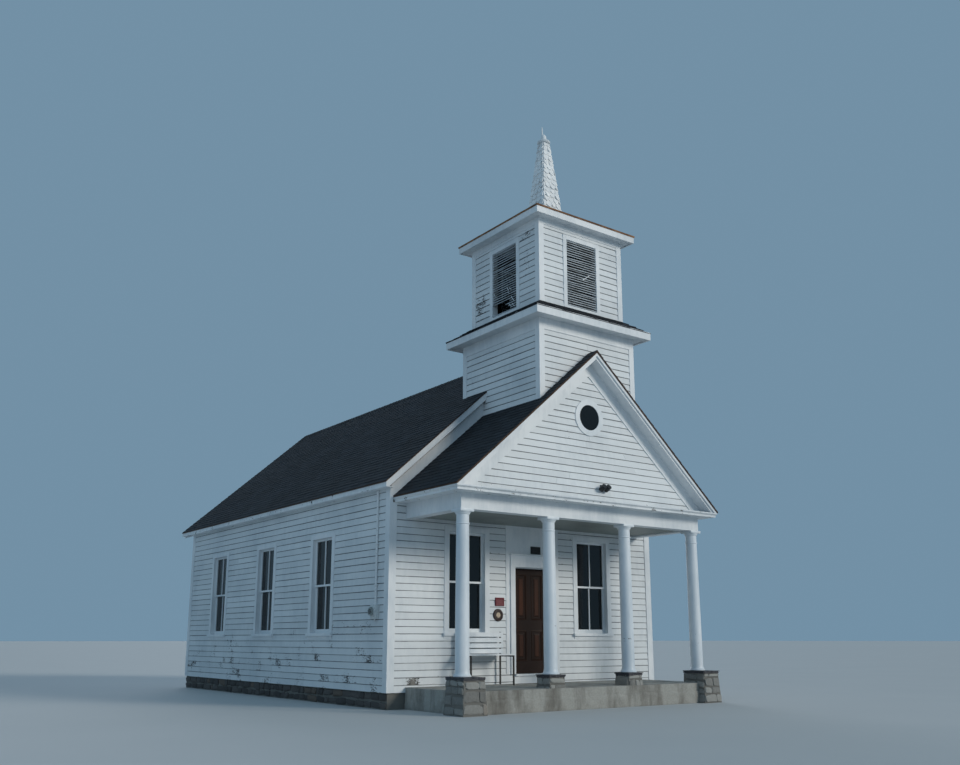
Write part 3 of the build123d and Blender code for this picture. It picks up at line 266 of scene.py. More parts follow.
def stained_door(name, dark, pale):
    """Pine stained dark and varnished long ago: red-brown, with straight grain and little gloss left."""
    finish, tree, at = start_finish(name)
    upright = add(tree, "Mapping", {"Vector": at, "Scale": (1, 1, 0.05)})
    grain = add(tree, "TexNoise", {"Vector": upright, "Scale": every(7), "Detail": 5.0, "Roughness": 0.6})
    sun = add(tree, "TexNoise", {"Vector": at, "Scale": every(500), "Detail": 2.0})
    wood = add(tree, "Mix", {"Factor": grain, "A": srgb(dark), "B": srgb(pale)}, data_type="RGBA")
    fade = add(tree, "MapRange", {
        "Value": sun, "From Min": 0.4, "From Max": 0.7, "To Min": 0.85, "To Max": 1.3})
    colour = add(tree, "HueSaturation", {"Color": wood, "Value": fade})
    rough = add(tree, "MapRange", {"Value": sun, "To Min": 0.42, "To Max": 0.65})
    relief = add(tree, "Bump", {"Height": grain, "Strength": 0.25, "Distance": 0.0015})
    return end_finish(finish, tree, Base_Color=colour, Roughness=rough, Normal=relief, IOR=1.5,
                      Specular_IOR_Level=0.2)


def old_glass():
    """Drawn sheet glass, a century old and never washed: a slow ripple and a film of dust that takes most of its
    shine; its faintly green tint is darkened near to black as painted shade of the dim room behind it."""
    finish, tree, at = start_finish("old_glass")
    ripple = add(tree, "TexNoise", {"Vector": at, "Scale": every(220), "Detail": 1.0})
    film = add(tree, "TexNoise", {"Vector": at, "Scale": every(400), "Detail": 5.0})
    rough = add(tree, "MapRange", {"Value": film, "To Min": 0.02, "To Max": 0.12})
    wave = add(tree, "Bump", {"Height": ripple, "Strength": 0.25, "Distance": 0.004})
    # Painted shade: a near-black tint darkens all that is seen through the glass
    tint = add(tree, "Mix", {"Factor": film, "A": srgb("#1f2424"), "B": srgb("#151919")}, data_type="RGBA")
    return end_finish(finish, tree, Base_Color=tint, Roughness=rough, Normal=wave, IOR=1.52,
                      Specular_IOR_Level=0.14, Transmission_Weight=0.85)


def weathered_slats():
    """Louvre slats of pine with the last of a thin white paint: pale grey-blue where the weather reaches, with
    painted shade that turns the undersides nearly black."""
    finish, tree, at = start_finish("weathered_slats")
    along = add(tree, "Mapping", {"Vector": at, "Scale": (0.15, 0.15, 1)})
    grain = add(tree, "TexNoise", {"Vector": along, "Scale": every(14), "Detail": 5.0, "Roughness": 0.65})
    patch = add(tree, "TexNoise", {"Vector": along, "Scale": every(60), "Detail": 3.0})
    bare = add(tree, "MapRange", {"Value": patch, "From Min": 0.5, "From Max": 0.62})
    top = add(tree, "Mix", {"Factor": bare, "A": srgb("#b6bec4"), "B": srgb("#8b9093")}, data_type="RGBA")
    streak = add(tree, "MapRange", {"Value": grain, "From Min": 0.5, "From Max": 0.75, "To Max": 0.5})
    top = add(tree, "Mix", {"Factor": streak, "A": top, "B": srgb("#5f6366")}, data_type="RGBA")
    # Painted shade: faces that turn downward are darkened nearly to black
    facing = add(tree, "TexCoord", out="Normal")
    facing = add(tree, "SeparateXYZ", {"Vector": facing}, out="Z")
    underside_shade = add(tree, "MapRange", {"Value": facing, "From Min": -0.15, "From Max": -0.45})
    colour = add(tree, "Mix", {"Factor": underside_shade, "A": top, "B": srgb("#141313")}, data_type="RGBA")
    relief = add(tree, "Bump", {"Height": grain, "Strength": 0.4, "Distance": 0.002})
    return end_finish(finish, tree, Base_Color=colour, Roughness=0.9, Normal=relief, IOR=1.5)


def rough_boards(name, dark, pale, grain_mm=20):
    """Rough sawn pine, never painted: brown and furred, in darker and paler patches."""
    finish, tree, at = start_finish(name)
    # The fur is drawn three times as coarse, so that it shows
    coarse = add(tree, "Mapping", {"Vector": at, "Scale": (0.3, 0.3, 0.3)})
    grain = add(tree, "TexNoise", {
        "Vector": coarse, "Scale": every(grain_mm), "Detail": 5.0, "Roughness": 0.65})
    stain = add(tree, "TexNoise", {"Vector": at, "Scale": every(260), "Detail": 3.0})
    shade = add(tree, "Mix", {"Factor": 0.45, "A": grain, "B": stain}, data_type="FLOAT")
    shade = add(tree, "MapRange", {"Value": shade, "From Min": 0.35, "From Max": 0.65})
    colour = add(tree, "Mix", {"Factor": shade, "A": srgb(dark), "B": srgb(pale)}, data_type="RGBA")
    relief = add(tree, "Bump", {"Height": grain, "Strength": 0.5, "Distance": 0.003})
    return end_finish(finish, tree, Base_Color=colour, Roughness=0.9, Normal=relief, IOR=1.5)


def tarnished_brass():
    """Cast brass gone brown, bright only where hands rub it."""
    finish, tree, at = start_finish("tarnished_brass")
    rubbed = add(tree, "TexNoise", {"Vector": at, "Scale": every(22), "Detail": 4.0})
    colour = add(tree, "Mix", {"Factor": rubbed, "A": srgb("#6b5634"), "B": srgb("#b39358")}, data_type="RGBA")
    rough = add(tree, "MapRange", {"Value": rubbed, "To Min": 0.5, "To Max": 0.3})
    return end_finish(finish, tree, Base_Color=colour, Roughness=rough, Metallic=1.0)


def enamelled_metal(name, code, roughness=0.45):
    """Sheet metal with baked enamel, dulled and lightly spotted outdoors."""
    finish, tree, at = start_finish(name)
    spots = add(tree, "TexNoise", {"Vector": at, "Scale": every(16), "Detail": 6.0})
    fade = add(tree, "MapRange", {
        "Value": spots, "From Min": 0.3, "From Max": 0.75, "To Min": 0.75, "To Max": 1.2})
    colour = add(tree, "HueSaturation", {"Color": srgb(code), "Value": fade})
    rough = add(tree, "MapRange", {"Value": spots, "To Min": roughness - 0.1, "To Max": roughness + 0.2})
    return end_finish(finish, tree, Base_Color=colour, Roughness=rough, IOR=1.5)


def floor_pine():
    """Narrow pine floor boards, oiled and scuffed: honey brown."""
    finish, tree, at = start_finish("floor_pine")
    along = add(tree, "Mapping", {"Vector": at, "Scale": (1, 0.05, 1)})
    grain = add(tree, "TexNoise", {"Vector": along, "Scale": every(22), "Detail": 5.0})
    # The saw wave repeats every 314 mm at scale 1, so these joints come 88 mm apart
    boards = add(tree, "TexWave", {"Vector": at, "Scale": every(280), "Distortion": 0.0}, out="Fac",
                 wave_type="BANDS", bands_direction="X", wave_profile="SAW")
    colour = add(tree, "Mix", {"Factor": grain, "A": srgb("#4f3622"), "B": srgb("#8a6540")}, data_type="RGBA")
    joint = add(tree, "MapRange", {"Value": boards, "From Min": 0.0, "From Max": 0.03})
    colour = add(tree, "Mix", {"Factor": joint, "A": srgb("#1c130d"), "B": colour}, data_type="RGBA")
    return end_finish(finish, tree, Base_Color=colour, Roughness=0.5, IOR=1.5)


def varnished_matchboard():
    """Narrow beaded pine boards inside the walls, varnished for a century: dark amber brown."""
    finish, tree, at = start_finish("varnished_matchboard")
    upright = add(tree, "Mapping", {"Vector": at, "Scale": (1, 1, 0.08)})
    grain = add(tree, "TexNoise", {"Vector": upright, "Scale": every(16), "Detail": 4.0})
    colour = add(tree, "Mix", {"Factor": grain, "A": srgb("#22170f"), "B": srgb("#3f2c1c")}, data_type="RGBA")
    # Along the diagonal the wave repeats every 628 mm at scale 1, so a bead comes about every metre of wall,
    # much wider apart than the 80 mm of real boards
    spot = add(tree, "Mapping", {"Vector": at, "Scale": (1, 1, 0)})
    bead = add(tree, "TexWave", {"Vector": spot, "Scale": every(1600)}, out="Fac", wave_type="BANDS",
               bands_direction="DIAGONAL", wave_profile="SAW")
    relief = add(tree, "Bump", {"Height": bead, "Strength": 0.4, "Distance": 0.004})
    return end_finish(finish, tree, Base_Color=colour, Roughness=0.45, Normal=relief, IOR=1.5)


def painted_plate(name, code, roughness=0.5):
    """A small board or casting with one thick coat of enamel, chalked and rubbed at its high spots."""
    finish, tree, at = start_finish(name)
    chalk = add(tree, "TexNoise", {"Vector": at, "Scale": every(24), "Detail": 5.0})
    fade = add(tree, "MapRange", {
        "Value": chalk, "From Min": 0.35, "From Max": 0.7, "To Min": 0.7, "To Max": 1.35})
    colour = add(tree, "HueSaturation", {"Color": srgb(code), "Value": fade})
    relief = add(tree, "Bump", {"Height": chalk, "Strength": 0.3, "Distance": 0.001})
    return end_finish(finish, tree, Base_Color=colour, Roughness=roughness, Normal=relief, IOR=1.5)


def meter_glass():
    """Blown glass cover, clear and thick."""
    finish, tree, at = start_finish("meter_glass")
    dust = add(tree, "TexNoise", {"Vector": at, "Scale": every(30), "Detail": 3.0})
    rough = add(tree, "MapRange", {"Value": dust, "To Min": 0.03, "To Max": 0.18})
    tint = add(tree, "Mix", {"Factor": dust, "A": srgb("#dfe6e6"), "B": srgb("#c2cac8")}, data_type="RGBA")
    return end_finish(finish, tree, Base_Color=tint, Roughness=rough, IOR=1.5, Transmission_Weight=0.9)


def studio_floor():
    """Pale seamless floor."""
    finish, tree, at = start_finish("studio_floor")
    cloth = add(tree, "TexNoise", {"Vector": at, "Scale": every(2500), "Detail": 2.0})
    colour = add(tree, "Mix", {"Factor": cloth, "A": srgb("#bcbebe"), "B": srgb("#c3c4c3")}, data_type="RGBA")
    return end_finish(finish, tree, Base_Color=colour, Roughness=0.9)


CLAPBOARD = oil_paint("painted_clapboard", "#dfe3e5", "#cdd3d7", butt_edges=True)
TRIM = oil_paint("painted_trim", "#e4e7e9", "#cbd2d7", worn=0.1)
CORNICE = oil_paint("painted_cornice", "#e2e5e7", "#c6cdd2", worn=0.5)
EAVE = oil_paint("painted_eave", "#e2e5e7", "#c6cdd2", flake_mm=26, worn=0.8)
# Porch ceiling: grey-green paint, darkened further as painted shade under the porch roof
CEILING_IN_SHADE = oil_paint("ceiling_paint_and_shade", "#8a908b", "#6f7571")
COLUMN_PAINT = oil_paint("painted_column", "#e0e5e9", "#cad3da", flake_mm=24, roughness=0.42)
# Spire and finial: a whiter copy of the white paint, painted sunlight
SPIRE_PAINT_SUNLIT = oil_paint("cut_shingle_paint_sunlit", "#f4f5f5", "#d3d8db", flake_mm=30, roughness=0.7, worn=0.1)
SHINGLE = asphalt_shingle()
ROOF_EDGE = rough_boards("roof_edge_boards", "#241c18", "#5b4232")
DRIP_EDGE = rough_boards("drip_edge_pine", "#5a3a25", "#a0744f", grain_mm=35)
# Near-black boards inside the tower and belfry: painted shade
SHADED_TOWER_BOARDS = rough_boards("tower_boards_painted_shade", "#17120f", "#33291f")
STONE = fieldstone("granite_fieldstone", "#b4b3ad", "#4e4d4b")
# Foundation stones: a darker copy of the fieldstone, painted shade low under the walls
SHADED_STONE = fieldstone("fieldstone_painted_shade", "#6a6561", "#262425")
MORTAR = lime_mortar()
SLATE = riven_slate()
CONCRETE = worn_concrete()
DOOR_WOOD = stained_door("stained_door", "#160a06", "#331b10")
# Raised panel fields: a paler copy of the door stain, painted sunlight
DOOR_PANEL_SUNLIT = stained_door("door_panel_painted_sunlight", "#2b150c", "#5a3320")
DOOR_EDGE = stained_door("rubbed_moulding", "#1b0d08", "#402617")
GLASS = old_glass()
SLATS = weathered_slats()
BRASS = tarnished_brass()
METER_METAL = enamelled_metal("grey_enamel", "#ced3d3")
CONDUIT = enamelled_metal("white_enamel", "#e4e7e8")
METER_GLASS = meter_glass()
BLACK_IRON = enamelled_metal("black_enamel", "#17181a", 0.4)
BLACK_PLATE = painted_plate("black_plate", "#141415")
RED_PLATE = painted_plate("oxblood_plate", "#701d28")
PALE_PLATE = painted_plate("cream_plate", "#b8a58c")
UMBER_PLATE = painted_plate("umber_plate", "#33211b")
FLOOR = floor_pine()
MATCHBOARD = varnished_matchboard()

NODE_FINISHES = {
    MORTAR: ["foundation", "porch_piers"],
    SLATE: ["pier_caps"],
    CONCRETE: ["porch_slab"],
    MATCHBOARD: ["left_wall", "right_wall", "rear_wall", "front_wall_left", "front_wall_right",
                 "front_wall_over_door", "front_gable", "pediment_wall"],
    SHADED_TOWER_BOARDS: ["tower_end_walls", "tower_side_walls", "belfry_end_walls", "belfry_side_walls", "floor_joists"],
    ROOF_EDGE: ["main_roof_left", "main_roof_right", "porch_roof", "skirt_roof", "belfry_roof"],
    CORNICE: ["gable_rakes", "pediment_rakes", "tower_cornice", "belfry_cornice"],
    EAVE: ["main_eaves", "pediment_cornice"],
    CEILING_IN_SHADE: ["porch_ceiling"],
    COLUMN_PAINT: ["porch_columns"],
    SPIRE_PAINT_SUNLIT: ["spire", "finial"],
    DOOR_WOOD: ["front_door"],
    BRASS: ["door_hardware", "door_hinges"],
    GLASS: ["window_glass"],
    SLATS: ["belfry_louvres"],
    METER_METAL: ["electric_meter"],
    BLACK_IRON: ["pediment_light", "bench_frame"],
    FLOOR: ["floor_boards"],
}
finish_of = {name: finish for finish, names in NODE_FINISHES.items() for name in names}
for name, node in nodes.items():
    node.data.materials.clear()
    node.data.materials.append(finish_of.get(name, TRIM))


def make_piece(name, shape, finish, slot, body="building", smooth=False):
    """A mesh piece of the building from its bmesh, on its body; its slot is not used."""
    bmesh.ops.recalc_face_normals(shape, faces=shape.faces)
    mesh = bpy.data.meshes.new(name)
    shape.to_mesh(mesh)
    shape.free()
    mesh.materials.append(finish)
    if smooth:
        mesh.shade_smooth()
        mesh.set_sharp_from_angle(angle=radians(38))
    piece = bpy.data.objects.new(name, mesh)
    bpy.context.scene.collection.objects.link(piece)
    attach(piece, body)
    return piece


def start_shape(*layers):
    """An empty shape, and each layer of numbers that its corners carry."""
    shape = bmesh.new()
    return [shape] + [shape.verts.layers.float.new(layer) for layer in layers]


def closed_prism(shape, back, front, values=()):
    """A closed solid between two rings of points; values are (layer, number) set on its corners."""
    rings = [[shape.verts.new(p) for p in ring] for ring in (back, front)]
    for layer, value in values:
        for ring in rings:
            for corner in ring:
                corner[layer] = value
    shape.faces.new(rings[1])
    shape.faces.new(list(reversed(rings[0])))
    for i in range(len(back)):
        j = (i + 1) % len(back)
        shape.faces.new((rings[0][i], rings[0][j], rings[1][j], rings[1][i]))


def join_rings(shape, rings, closed=True):
    """Faces between each ring of corners and the next."""
    for one, two in zip(rings, rings[1:] + rings[:1] if closed else rings[1:]):
        for k in range(len(one)):
            m = (k + 1) % len(one)
            shape.faces.new((one[k], two[k], two[m], one[m]))


def block(shape, low, high, edge=0.003):
    """A sawn block between two corners, its edges eased."""
    corners = bmesh.ops.create_cube(shape, size=1)["verts"]
    for v in corners:
        v.co = Vector([low[k] if v.co[k] < 0 else high[k] for k in range(3)])
    edges = list({e for v in corners for e in v.link_edges})
    bmesh.ops.bevel(shape, geom=edges, offset=edge, segments=2, profile=0.5, affect="EDGES")


def turn(shape, foot, along, rings, count=40):
    """A form turned on a lathe: rings are (radius, distance) pairs from its foot along its axis."""
    side = along.orthogonal().normalized()
    other = along.cross(side)
    loops = []
    for radius, step in rings:
        spokes = [side * cos(2 * pi * k / count) + other * sin(2 * pi * k / count) for k in range(count)]
        loops.append([shape.verts.new(foot + along * step + spoke * radius) for spoke in spokes])
    join_rings(shape, loops, closed=False)
    shape.faces.new(loops[0])
    shape.faces.new(list(reversed(loops[-1])))


# Clapboards: each is thin at its top, where the next one laps it, and thick at its foot

COURSE = 0.129
BUTT_T = 0.017
TIP_T = 0.004
LAP = 0.008
STATION = 0.55
BOARD_SHORT = 2.4
BOARD_LONG = 4.8
STUB = 0.6  # no joint comes nearer than this to the end of a run
JOINT_GAP = 0.0012
NARROWEST_RUN = 0.02
HAIR = 1e-5  # inside a level, where the openings are read


def box_hole(left, right, foot, head):
    """A rectangular opening in the boards: the levels that cut them, and its edges at a level."""
    return [foot, head], lambda z: [left, right] if foot < z < head else []


def round_hole(u, z, r):
    """A round opening, cut at twelve steps of its height."""
    return [z - r * cos(pi * k / 12) for k in range(13)], lambda level: [
        u + side * sqrt(r * r - (level - z) ** 2) for side in (-1, 1)] if abs(level - z) < r else []


def roof_hole(peak, pitch):
    """All that lies under the slopes of a roof across the wall."""
    return [peak], lambda z: [-(peak - z) / pitch, (peak - z) / pitch] if z < peak else []


def edges_at(z, span, holes):
    """Where the boards begin and end along a level, round the openings that it crosses."""
    left, right = span(z)
    edges = [min(max(u, left), right) for levels, cut in holes for u in cut(z)]
    return sorted([left, right] + edges)


def lay_clapboards(name, place, span, foot, head, holes=(), kinks=(), seed=1, wear=lambda u, z: 0.1,
                   station=STATION):
    """Courses of boards on a wall. place(u, z, d) is the point a distance d outside the wall and span(z) the
    wall's two ends at a level."""
    chance = random.Random(seed)
    shape, tone, worn, reveal = start_shape("tone", "wear", "reveal")
    for course in range(ceil((head - foot) / COURSE)):
        low = foot + course * COURSE
        high = min(low + COURSE, head)
        cuts = [z for levels, cut in holes for z in levels] + list(kinks)
        levels = sorted({low, high} | {z for z in cuts if low < z < high})
        for from_z, to_z in zip(levels, levels[1:]):
            ends = [edges_at(z, span, holes) for z in (from_z + HAIR, to_z - HAIR)]
            for k in range(0, len(ends[0]), 2):
                start = (ends[0][k], ends[1][k])
                end = (ends[0][k + 1], ends[1][k + 1])
                if end[0] - start[0] < NARROWEST_RUN and end[1] - start[1] < NARROWEST_RUN:
                    continue
                lay_run(shape, place, start, end, from_z, to_z, low, course, chance,
                        (tone, worn, reveal), wear, station)
    return make_piece(name, shape, CLAPBOARD, "white_siding")


def lay_run(shape, place, start, end, from_z, to_z, course_z, course, chance, layers, wear, station):
    """One run of a course between two ends, cut into boards at random joints."""
    tone, worn, reveal = layers
    length = max(end[0] - start[0], end[1] - start[1])
    joints = [0.0, chance.uniform(1.0, BOARD_LONG)]
    while joints[-1] < length:
        joints.append(joints[-1] + chance.uniform(BOARD_SHORT, BOARD_LONG))
    joints = [j / length for j in joints if j == 0 or STUB < j < length - STUB] + [1.0]
    for board, (a, b) in enumerate(zip(joints, joints[1:])):
        shade = chance.random()
        out = chance.uniform(-0.0015, 0.002)
        drop = chance.uniform(-0.0015, 0.0015)
        cells = max(1, round((b - a) * length / station))
        gap = JOINT_GAP / max(length, 0.1)
        rings = []
        for i in range(cells + 1):
            t = a + (b - a) * i / cells
            t += gap if i == 0 and board else -gap if i == cells and b < 1 else 0
            u_low = start[0] + (end[0] - start[0]) * t
            u_high = start[1] + (end[1] - start[1]) * t
            wave = noise.noise(Vector((u_low * 0.9, course * 3.7, 1.3))) * 0.004
            swell = noise.noise(Vector((u_low * 1.1, course * 2.3, 7.7))) * 0.0025
            share_low = (from_z - course_z) / COURSE
            share_high = (to_z - course_z) / COURSE
            depth_low = BUTT_T + (TIP_T - BUTT_T) * share_low + out + swell
            depth_high = BUTT_T + (TIP_T - BUTT_T) * share_high + max(out, 0) * 0.3
            z_low = from_z + (drop + wave if from_z == course_z else 0)
            z_high = to_z + LAP
            ring = [shape.verts.new(place(u, z, d)) for u, z, d in (
                (u_low, z_low, 0.0), (u_low, z_low, depth_low),
                (u_high, z_high, depth_high), (u_high, z_high, 0.0))]
            for corner, share in zip(ring, (share_low, share_low, share_high, share_high)):
                corner[tone] = shade
                corner[reveal] = share
                corner[worn] = wear((u_low + u_high) / 2, from_z)
            rings.append(ring)
        for one, two in zip(rings, rings[1:]):
            for k in range(4):
                m = (k + 1) % 4
                shape.faces.new((one[k], one[m], two[m], two[k]))
        shape.faces.new(rings[0])
        shape.faces.new(list(reversed(rings[-1])))


def solids_of(name):
    """Corners of each separate solid of a node."""
    mesh = nodes[name].data
    spot = [tuple(round(c, 4) for c in v.co) for v in mesh.vertices]
    owner = {p: p for p in spot}

    def first(p):
        while owner[p] != p:
            owner[p] = owner[owner[p]]
            p = owner[p]
        return p

    for face in mesh.polygons:
        ring = [first(spot[k]) for k in face.vertices]
        for other in ring[1:]:
            owner[first(other)] = first(ring[0])
    groups = {}
    for p in owner:
        groups.setdefault(first(p), []).append(Vector(p))
    return list(groups.values())


def reach_of(points):
    """Lowest and highest corner of some points."""
    return (Vector([min(p[k] for p in points) for k in range(3)]),
            Vector([max(p[k] for p in points) for k in range(3)]))


def in_order(name):
    """Lowest and highest corner and all corners of each solid of a node, from the left."""
    return [(*reach_of(points), points) for points in sorted(solids_of(name), key=lambda g: g[0].x)]


# The boards stop at the casings, corner boards and friezes

CORNER_W = 0.13
TOWER_BOARD_W = 0.105
HOUSE_FRIEZE_H = 0.25
TOWER_FRIEZE_H = 0.22
BELFRY_FRIEZE_H = 0.122
frames = [reach_of(points) for points in solids_of("window_frames")]
SILL_NOSE = 0.02
side_holes = {side: [box_hole(low.y + SILL_NOSE, high.y - SILL_NOSE, low.z, high.z)
                     for low, high in frames if min(side * low.x, side * high.x) > 3] for side in (-1, 1)}
front_holes = [box_hole(low.x + SILL_NOSE, high.x - SILL_NOSE, low.z, high.z)
               for low, high in frames if abs(low.x) < 3 and abs(high.x) < 3]


def patchy(base, amount, scale, seed):
    """Wear of a wall: a level of its own with patches about it."""
    return lambda u, z: min(1, max(0, base + amount * noise.noise(Vector((u * scale, z * scale, seed)))))


def low_wear(u, z):
    """Paint fails first in the bottom metre and a half, where rain splashes up."""
    patch = noise.noise(Vector((u * 1.9, z * 3.1, 3.1)))
    low = min(1, max(0, (sill_z + 1.5 - z) / 0.9))
    return min(0.66, max(0, 0.15 + 0.27 * low + (0.22 + 0.38 * low) * patch))


SIDES = (("left", -1), ("right", 1))
for name, side in SIDES:
    lay_clapboards(f"siding_{name}", lambda u, z, d: Vector((side * (wall_x + d), u, z)),
                   lambda z: (front_y + CORNER_W, rear_y - CORNER_W), sill_z, soffit_z, side_holes[side],
                   seed=11 + side, wear=low_wear, station=0.3)

# Rear gable, up to its raking friezes
main_slant = hypot(1, main_pitch)
ROOF_T = 0.14
rear_frieze_z = ridge_z - main_pitch * wall_x - (ROOF_T + HOUSE_FRIEZE_H) * main_slant


def rear_span(z):
    """Between the corner boards low down, and between the friezes above them."""
    edge = (ridge_z - (ROOF_T + HOUSE_FRIEZE_H) * main_slant - z) / main_pitch
    reach = wall_x - CORNER_W if z < rear_frieze_z else min(edge, wall_x)
    return -reach, reach


lay_clapboards("siding_rear", lambda u, z, d: Vector((u, rear_y + d, z)), rear_span, sill_z,
               ridge_z - (ROOF_T + HOUSE_FRIEZE_H + 0.02) * main_slant, kinks=[rear_frieze_z],
               seed=21, wear=low_wear)

# Front wall under the porch ceiling, and beside the beam up to the cornice
front_holes += [
    box_hole(surround_low.x, surround_high.x, surround_low.z, ceiling_z + 1),
    box_hole(step_low.x, step_high.x, sill_z - 1, surround_low.z),
    box_hole(beam_low.x, surround_low.x, ceiling_z, ceiling_z + 1),
    box_hole(surround_high.x, beam_high.x, ceiling_z, ceiling_z + 1),
]


def front_wear(u, z):
    """Sound under the porch roof, but bare in a patch near the left corner, just above the slab."""
    patch = 0.8 * exp(-((u + 2.83) / 0.2) ** 2 - ((z - 0.46) / 0.08) ** 4)
    return min(1, patchy(0.12, 0.35, 0.9, 6.6)(u, z) + patch)


lay_clapboards("siding_front", lambda u, z, d: Vector((u, front_y - d, z)),
               lambda z: (-wall_x + CORNER_W, wall_x - CORNER_W), sill_z, beam_high.z, front_holes, seed=31,
               wear=front_wear, station=0.14)

# Pediment inside its wide frieze boards, round the window
porch_slant = hypot(1, porch_pitch)
PEDIMENT_BANDS = 0.028 + 0.092 + 0.225
pediment_top = porch_high.z - PEDIMENT_BANDS * porch_slant
round_low, round_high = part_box("round_window")
round_z = (round_low.z + round_high.z) / 2
lay_clapboards("siding_pediment", lambda u, z, d: Vector((u, tympanum_low.y - d, z)),
               lambda z: (-(pediment_top - z) / porch_pitch, (pediment_top - z) / porch_pitch),
               tympanum_low.z, pediment_top - 0.02,
               [round_hole(0, round_z, round_high.x - 0.008)], seed=41,
               wear=patchy(0.12, 0.35, 0.8, 5.4))

# The round pane, bedded 14 mm behind the face of its casing
ROUND_PANE_R = 0.2495
ROUND_PANE_DEPTH = 0.014
pane = bmesh.new()
turn(pane, Vector((0, round_low.y + ROUND_PANE_DEPTH, round_z)), FORWARD,
     ((ROUND_PANE_R, 0.0), (ROUND_PANE_R, 0.003)), count=64)
make_piece("round_pane", pane, GLASS, "glass")

# Tower and belfry, four faces each
FACES = (
    ("front", Vector((1, 0, 0)), Vector((0, -1, 0))),
    ("right", Vector((0, 1, 0)), Vector((1, 0, 0))),
    ("rear", Vector((-1, 0, 0)), Vector((0, 1, 0))),
    ("left", Vector((0, -1, 0)), Vector((-1, 0, 0))),
)
tower_axis = Vector((0, tower_y, 0))


def tower_face(along, out, half):
    """Place on one face of the tower: u runs along it, z is the level and d the distance outside it."""
    return lambda u, z, d: tower_axis + along * u + out * (half + d) + Vector((0, 0, z))


louvre_half = reach_of(max(solids_of("louvre_casings"), key=lambda g: -g[0].y))[1].x
louvre_holes = [box_hole(-louvre_half, louvre_half, skirt[1].z - 1, louvre_head_z)]
TOWER_HOLES = {
    "front": [roof_hole(porch_high.z, porch_pitch)],
    "rear": [roof_hole(ridge_z, main_pitch)],
}
BELFRY_WEAR = {"front": 0.12, "right": 0.25, "rear": 0.3, "left": 0.2}


def belfry_wear(name, u, z):
    """Wear of the belfry: worst on its left face, low at the rear corner and in a patch near the front one."""
    wear = patchy(BELFRY_WEAR[name], 0.35, 1.3, 8.5)(u, z)
    if name == "left":
        wear += 0.55 * exp(-((u + 0.78) / 0.28) ** 2 - ((z - 8.0) / 0.42) ** 2)
        wear += 0.35 * exp(-((u - 0.68) / 0.2) ** 2 - ((z - 8.3) / 0.14) ** 2)
    return min(0.72, wear)


for quarter, (name, along, out) in enumerate(FACES):
    lay_clapboards(
        f"siding_tower_{name}", tower_face(along, out, tower_half),
        lambda z: (-tower_half + TOWER_BOARD_W, tower_half - TOWER_BOARD_W),
        porch_high.z - porch_pitch * tower_half - 0.02, tower_cornice[0].z - TOWER_FRIEZE_H,
        TOWER_HOLES.get(name, ()), seed=51 + quarter, wear=patchy(0.15, 0.35, 1.1, quarter + 1.5),
    )
    lay_clapboards(
        f"siding_belfry_{name}", tower_face(along, out, belfry_half),
        lambda z: (-belfry_half + TOWER_BOARD_W, belfry_half - TOWER_BOARD_W),
        skirt[1].z, belfry_cornice[0].z - BELFRY_FRIEZE_H, louvre_holes, seed=61 + quarter,
        wear=lambda u, z: belfry_wear(name, u, z), station=0.25,
    )


# Blocks that carry the rear corner boards up to the soffit
CORNER_T = 0.025
post_top_z = max(v.co.z for v in nodes["corner_boards"].data.vertices
                 if v.co.y > rear_y - CORNER_W - 0.01 and v.co.x > wall_x + CORNER_T - 0.001)
for name, side in SIDES:
    shape = bmesh.new()
    near, far = sorted((side * wall_x, side * (wall_x + CORNER_T)))
    block(shape, (near, rear_y - CORNER_W, post_top_z), (far, rear_y + CORNER_T, soffit_z), 0.002)
    make_piece(f"corner_head_{name}", shape, TRIM, "white_trim")

# Boarded soffits under the rear overhang of the main roof
SOFFIT_T = 0.012
RAKE_T = 0.028
for name, side in SIDES:
    shape = bmesh.new()
    ends = []
    for y in (rear_y + 0.03, roof_high.y - RAKE_T):
        ends.append([Vector((side * x, y, ridge_z - main_pitch * x - (ROOF_T + t) * main_slant)) for x, t in (
            (0.01, 0), (eave_x - 0.06, 0), (eave_x - 0.06, SOFFIT_T), (0.01, SOFFIT_T))])
    closed_prism(shape, *ends)
    make_piece(f"rear_soffit_{name}", shape, TRIM, "white_trim")


# Shingles: tabs in lapped courses, each a thin wedge clipped to the outline of its roof
HEAD_LAP = 1.3  # length of a tab, in courses
BUTT_STEPS = 8  # along a rounded foot
BED_T = 0.0015
INSIDE_BOX = 0.001


def clip(points, outline):
    """The part of a convex polygon inside a convex outline, both running anticlockwise."""
    for a, b in zip(outline, outline[1:] + outline[:1]):
        kept = []
        side = [(b[0] - a[0]) * (p[1] - a[1]) - (b[1] - a[1]) * (p[0] - a[0]) for p in points]
        for i, p in enumerate(points):
            q, s, t = points[i - 1], side[i - 1], side[i]
            if (s < 0) != (t < 0):
                k = s / (s - t)
                kept.append((q[0] + (p[0] - q[0]) * k, q[1] + (p[1] - q[1]) * k))
            if t >= 0:
                kept.append(p)
        points = kept
        if len(points) < 3:
            return []
    return points


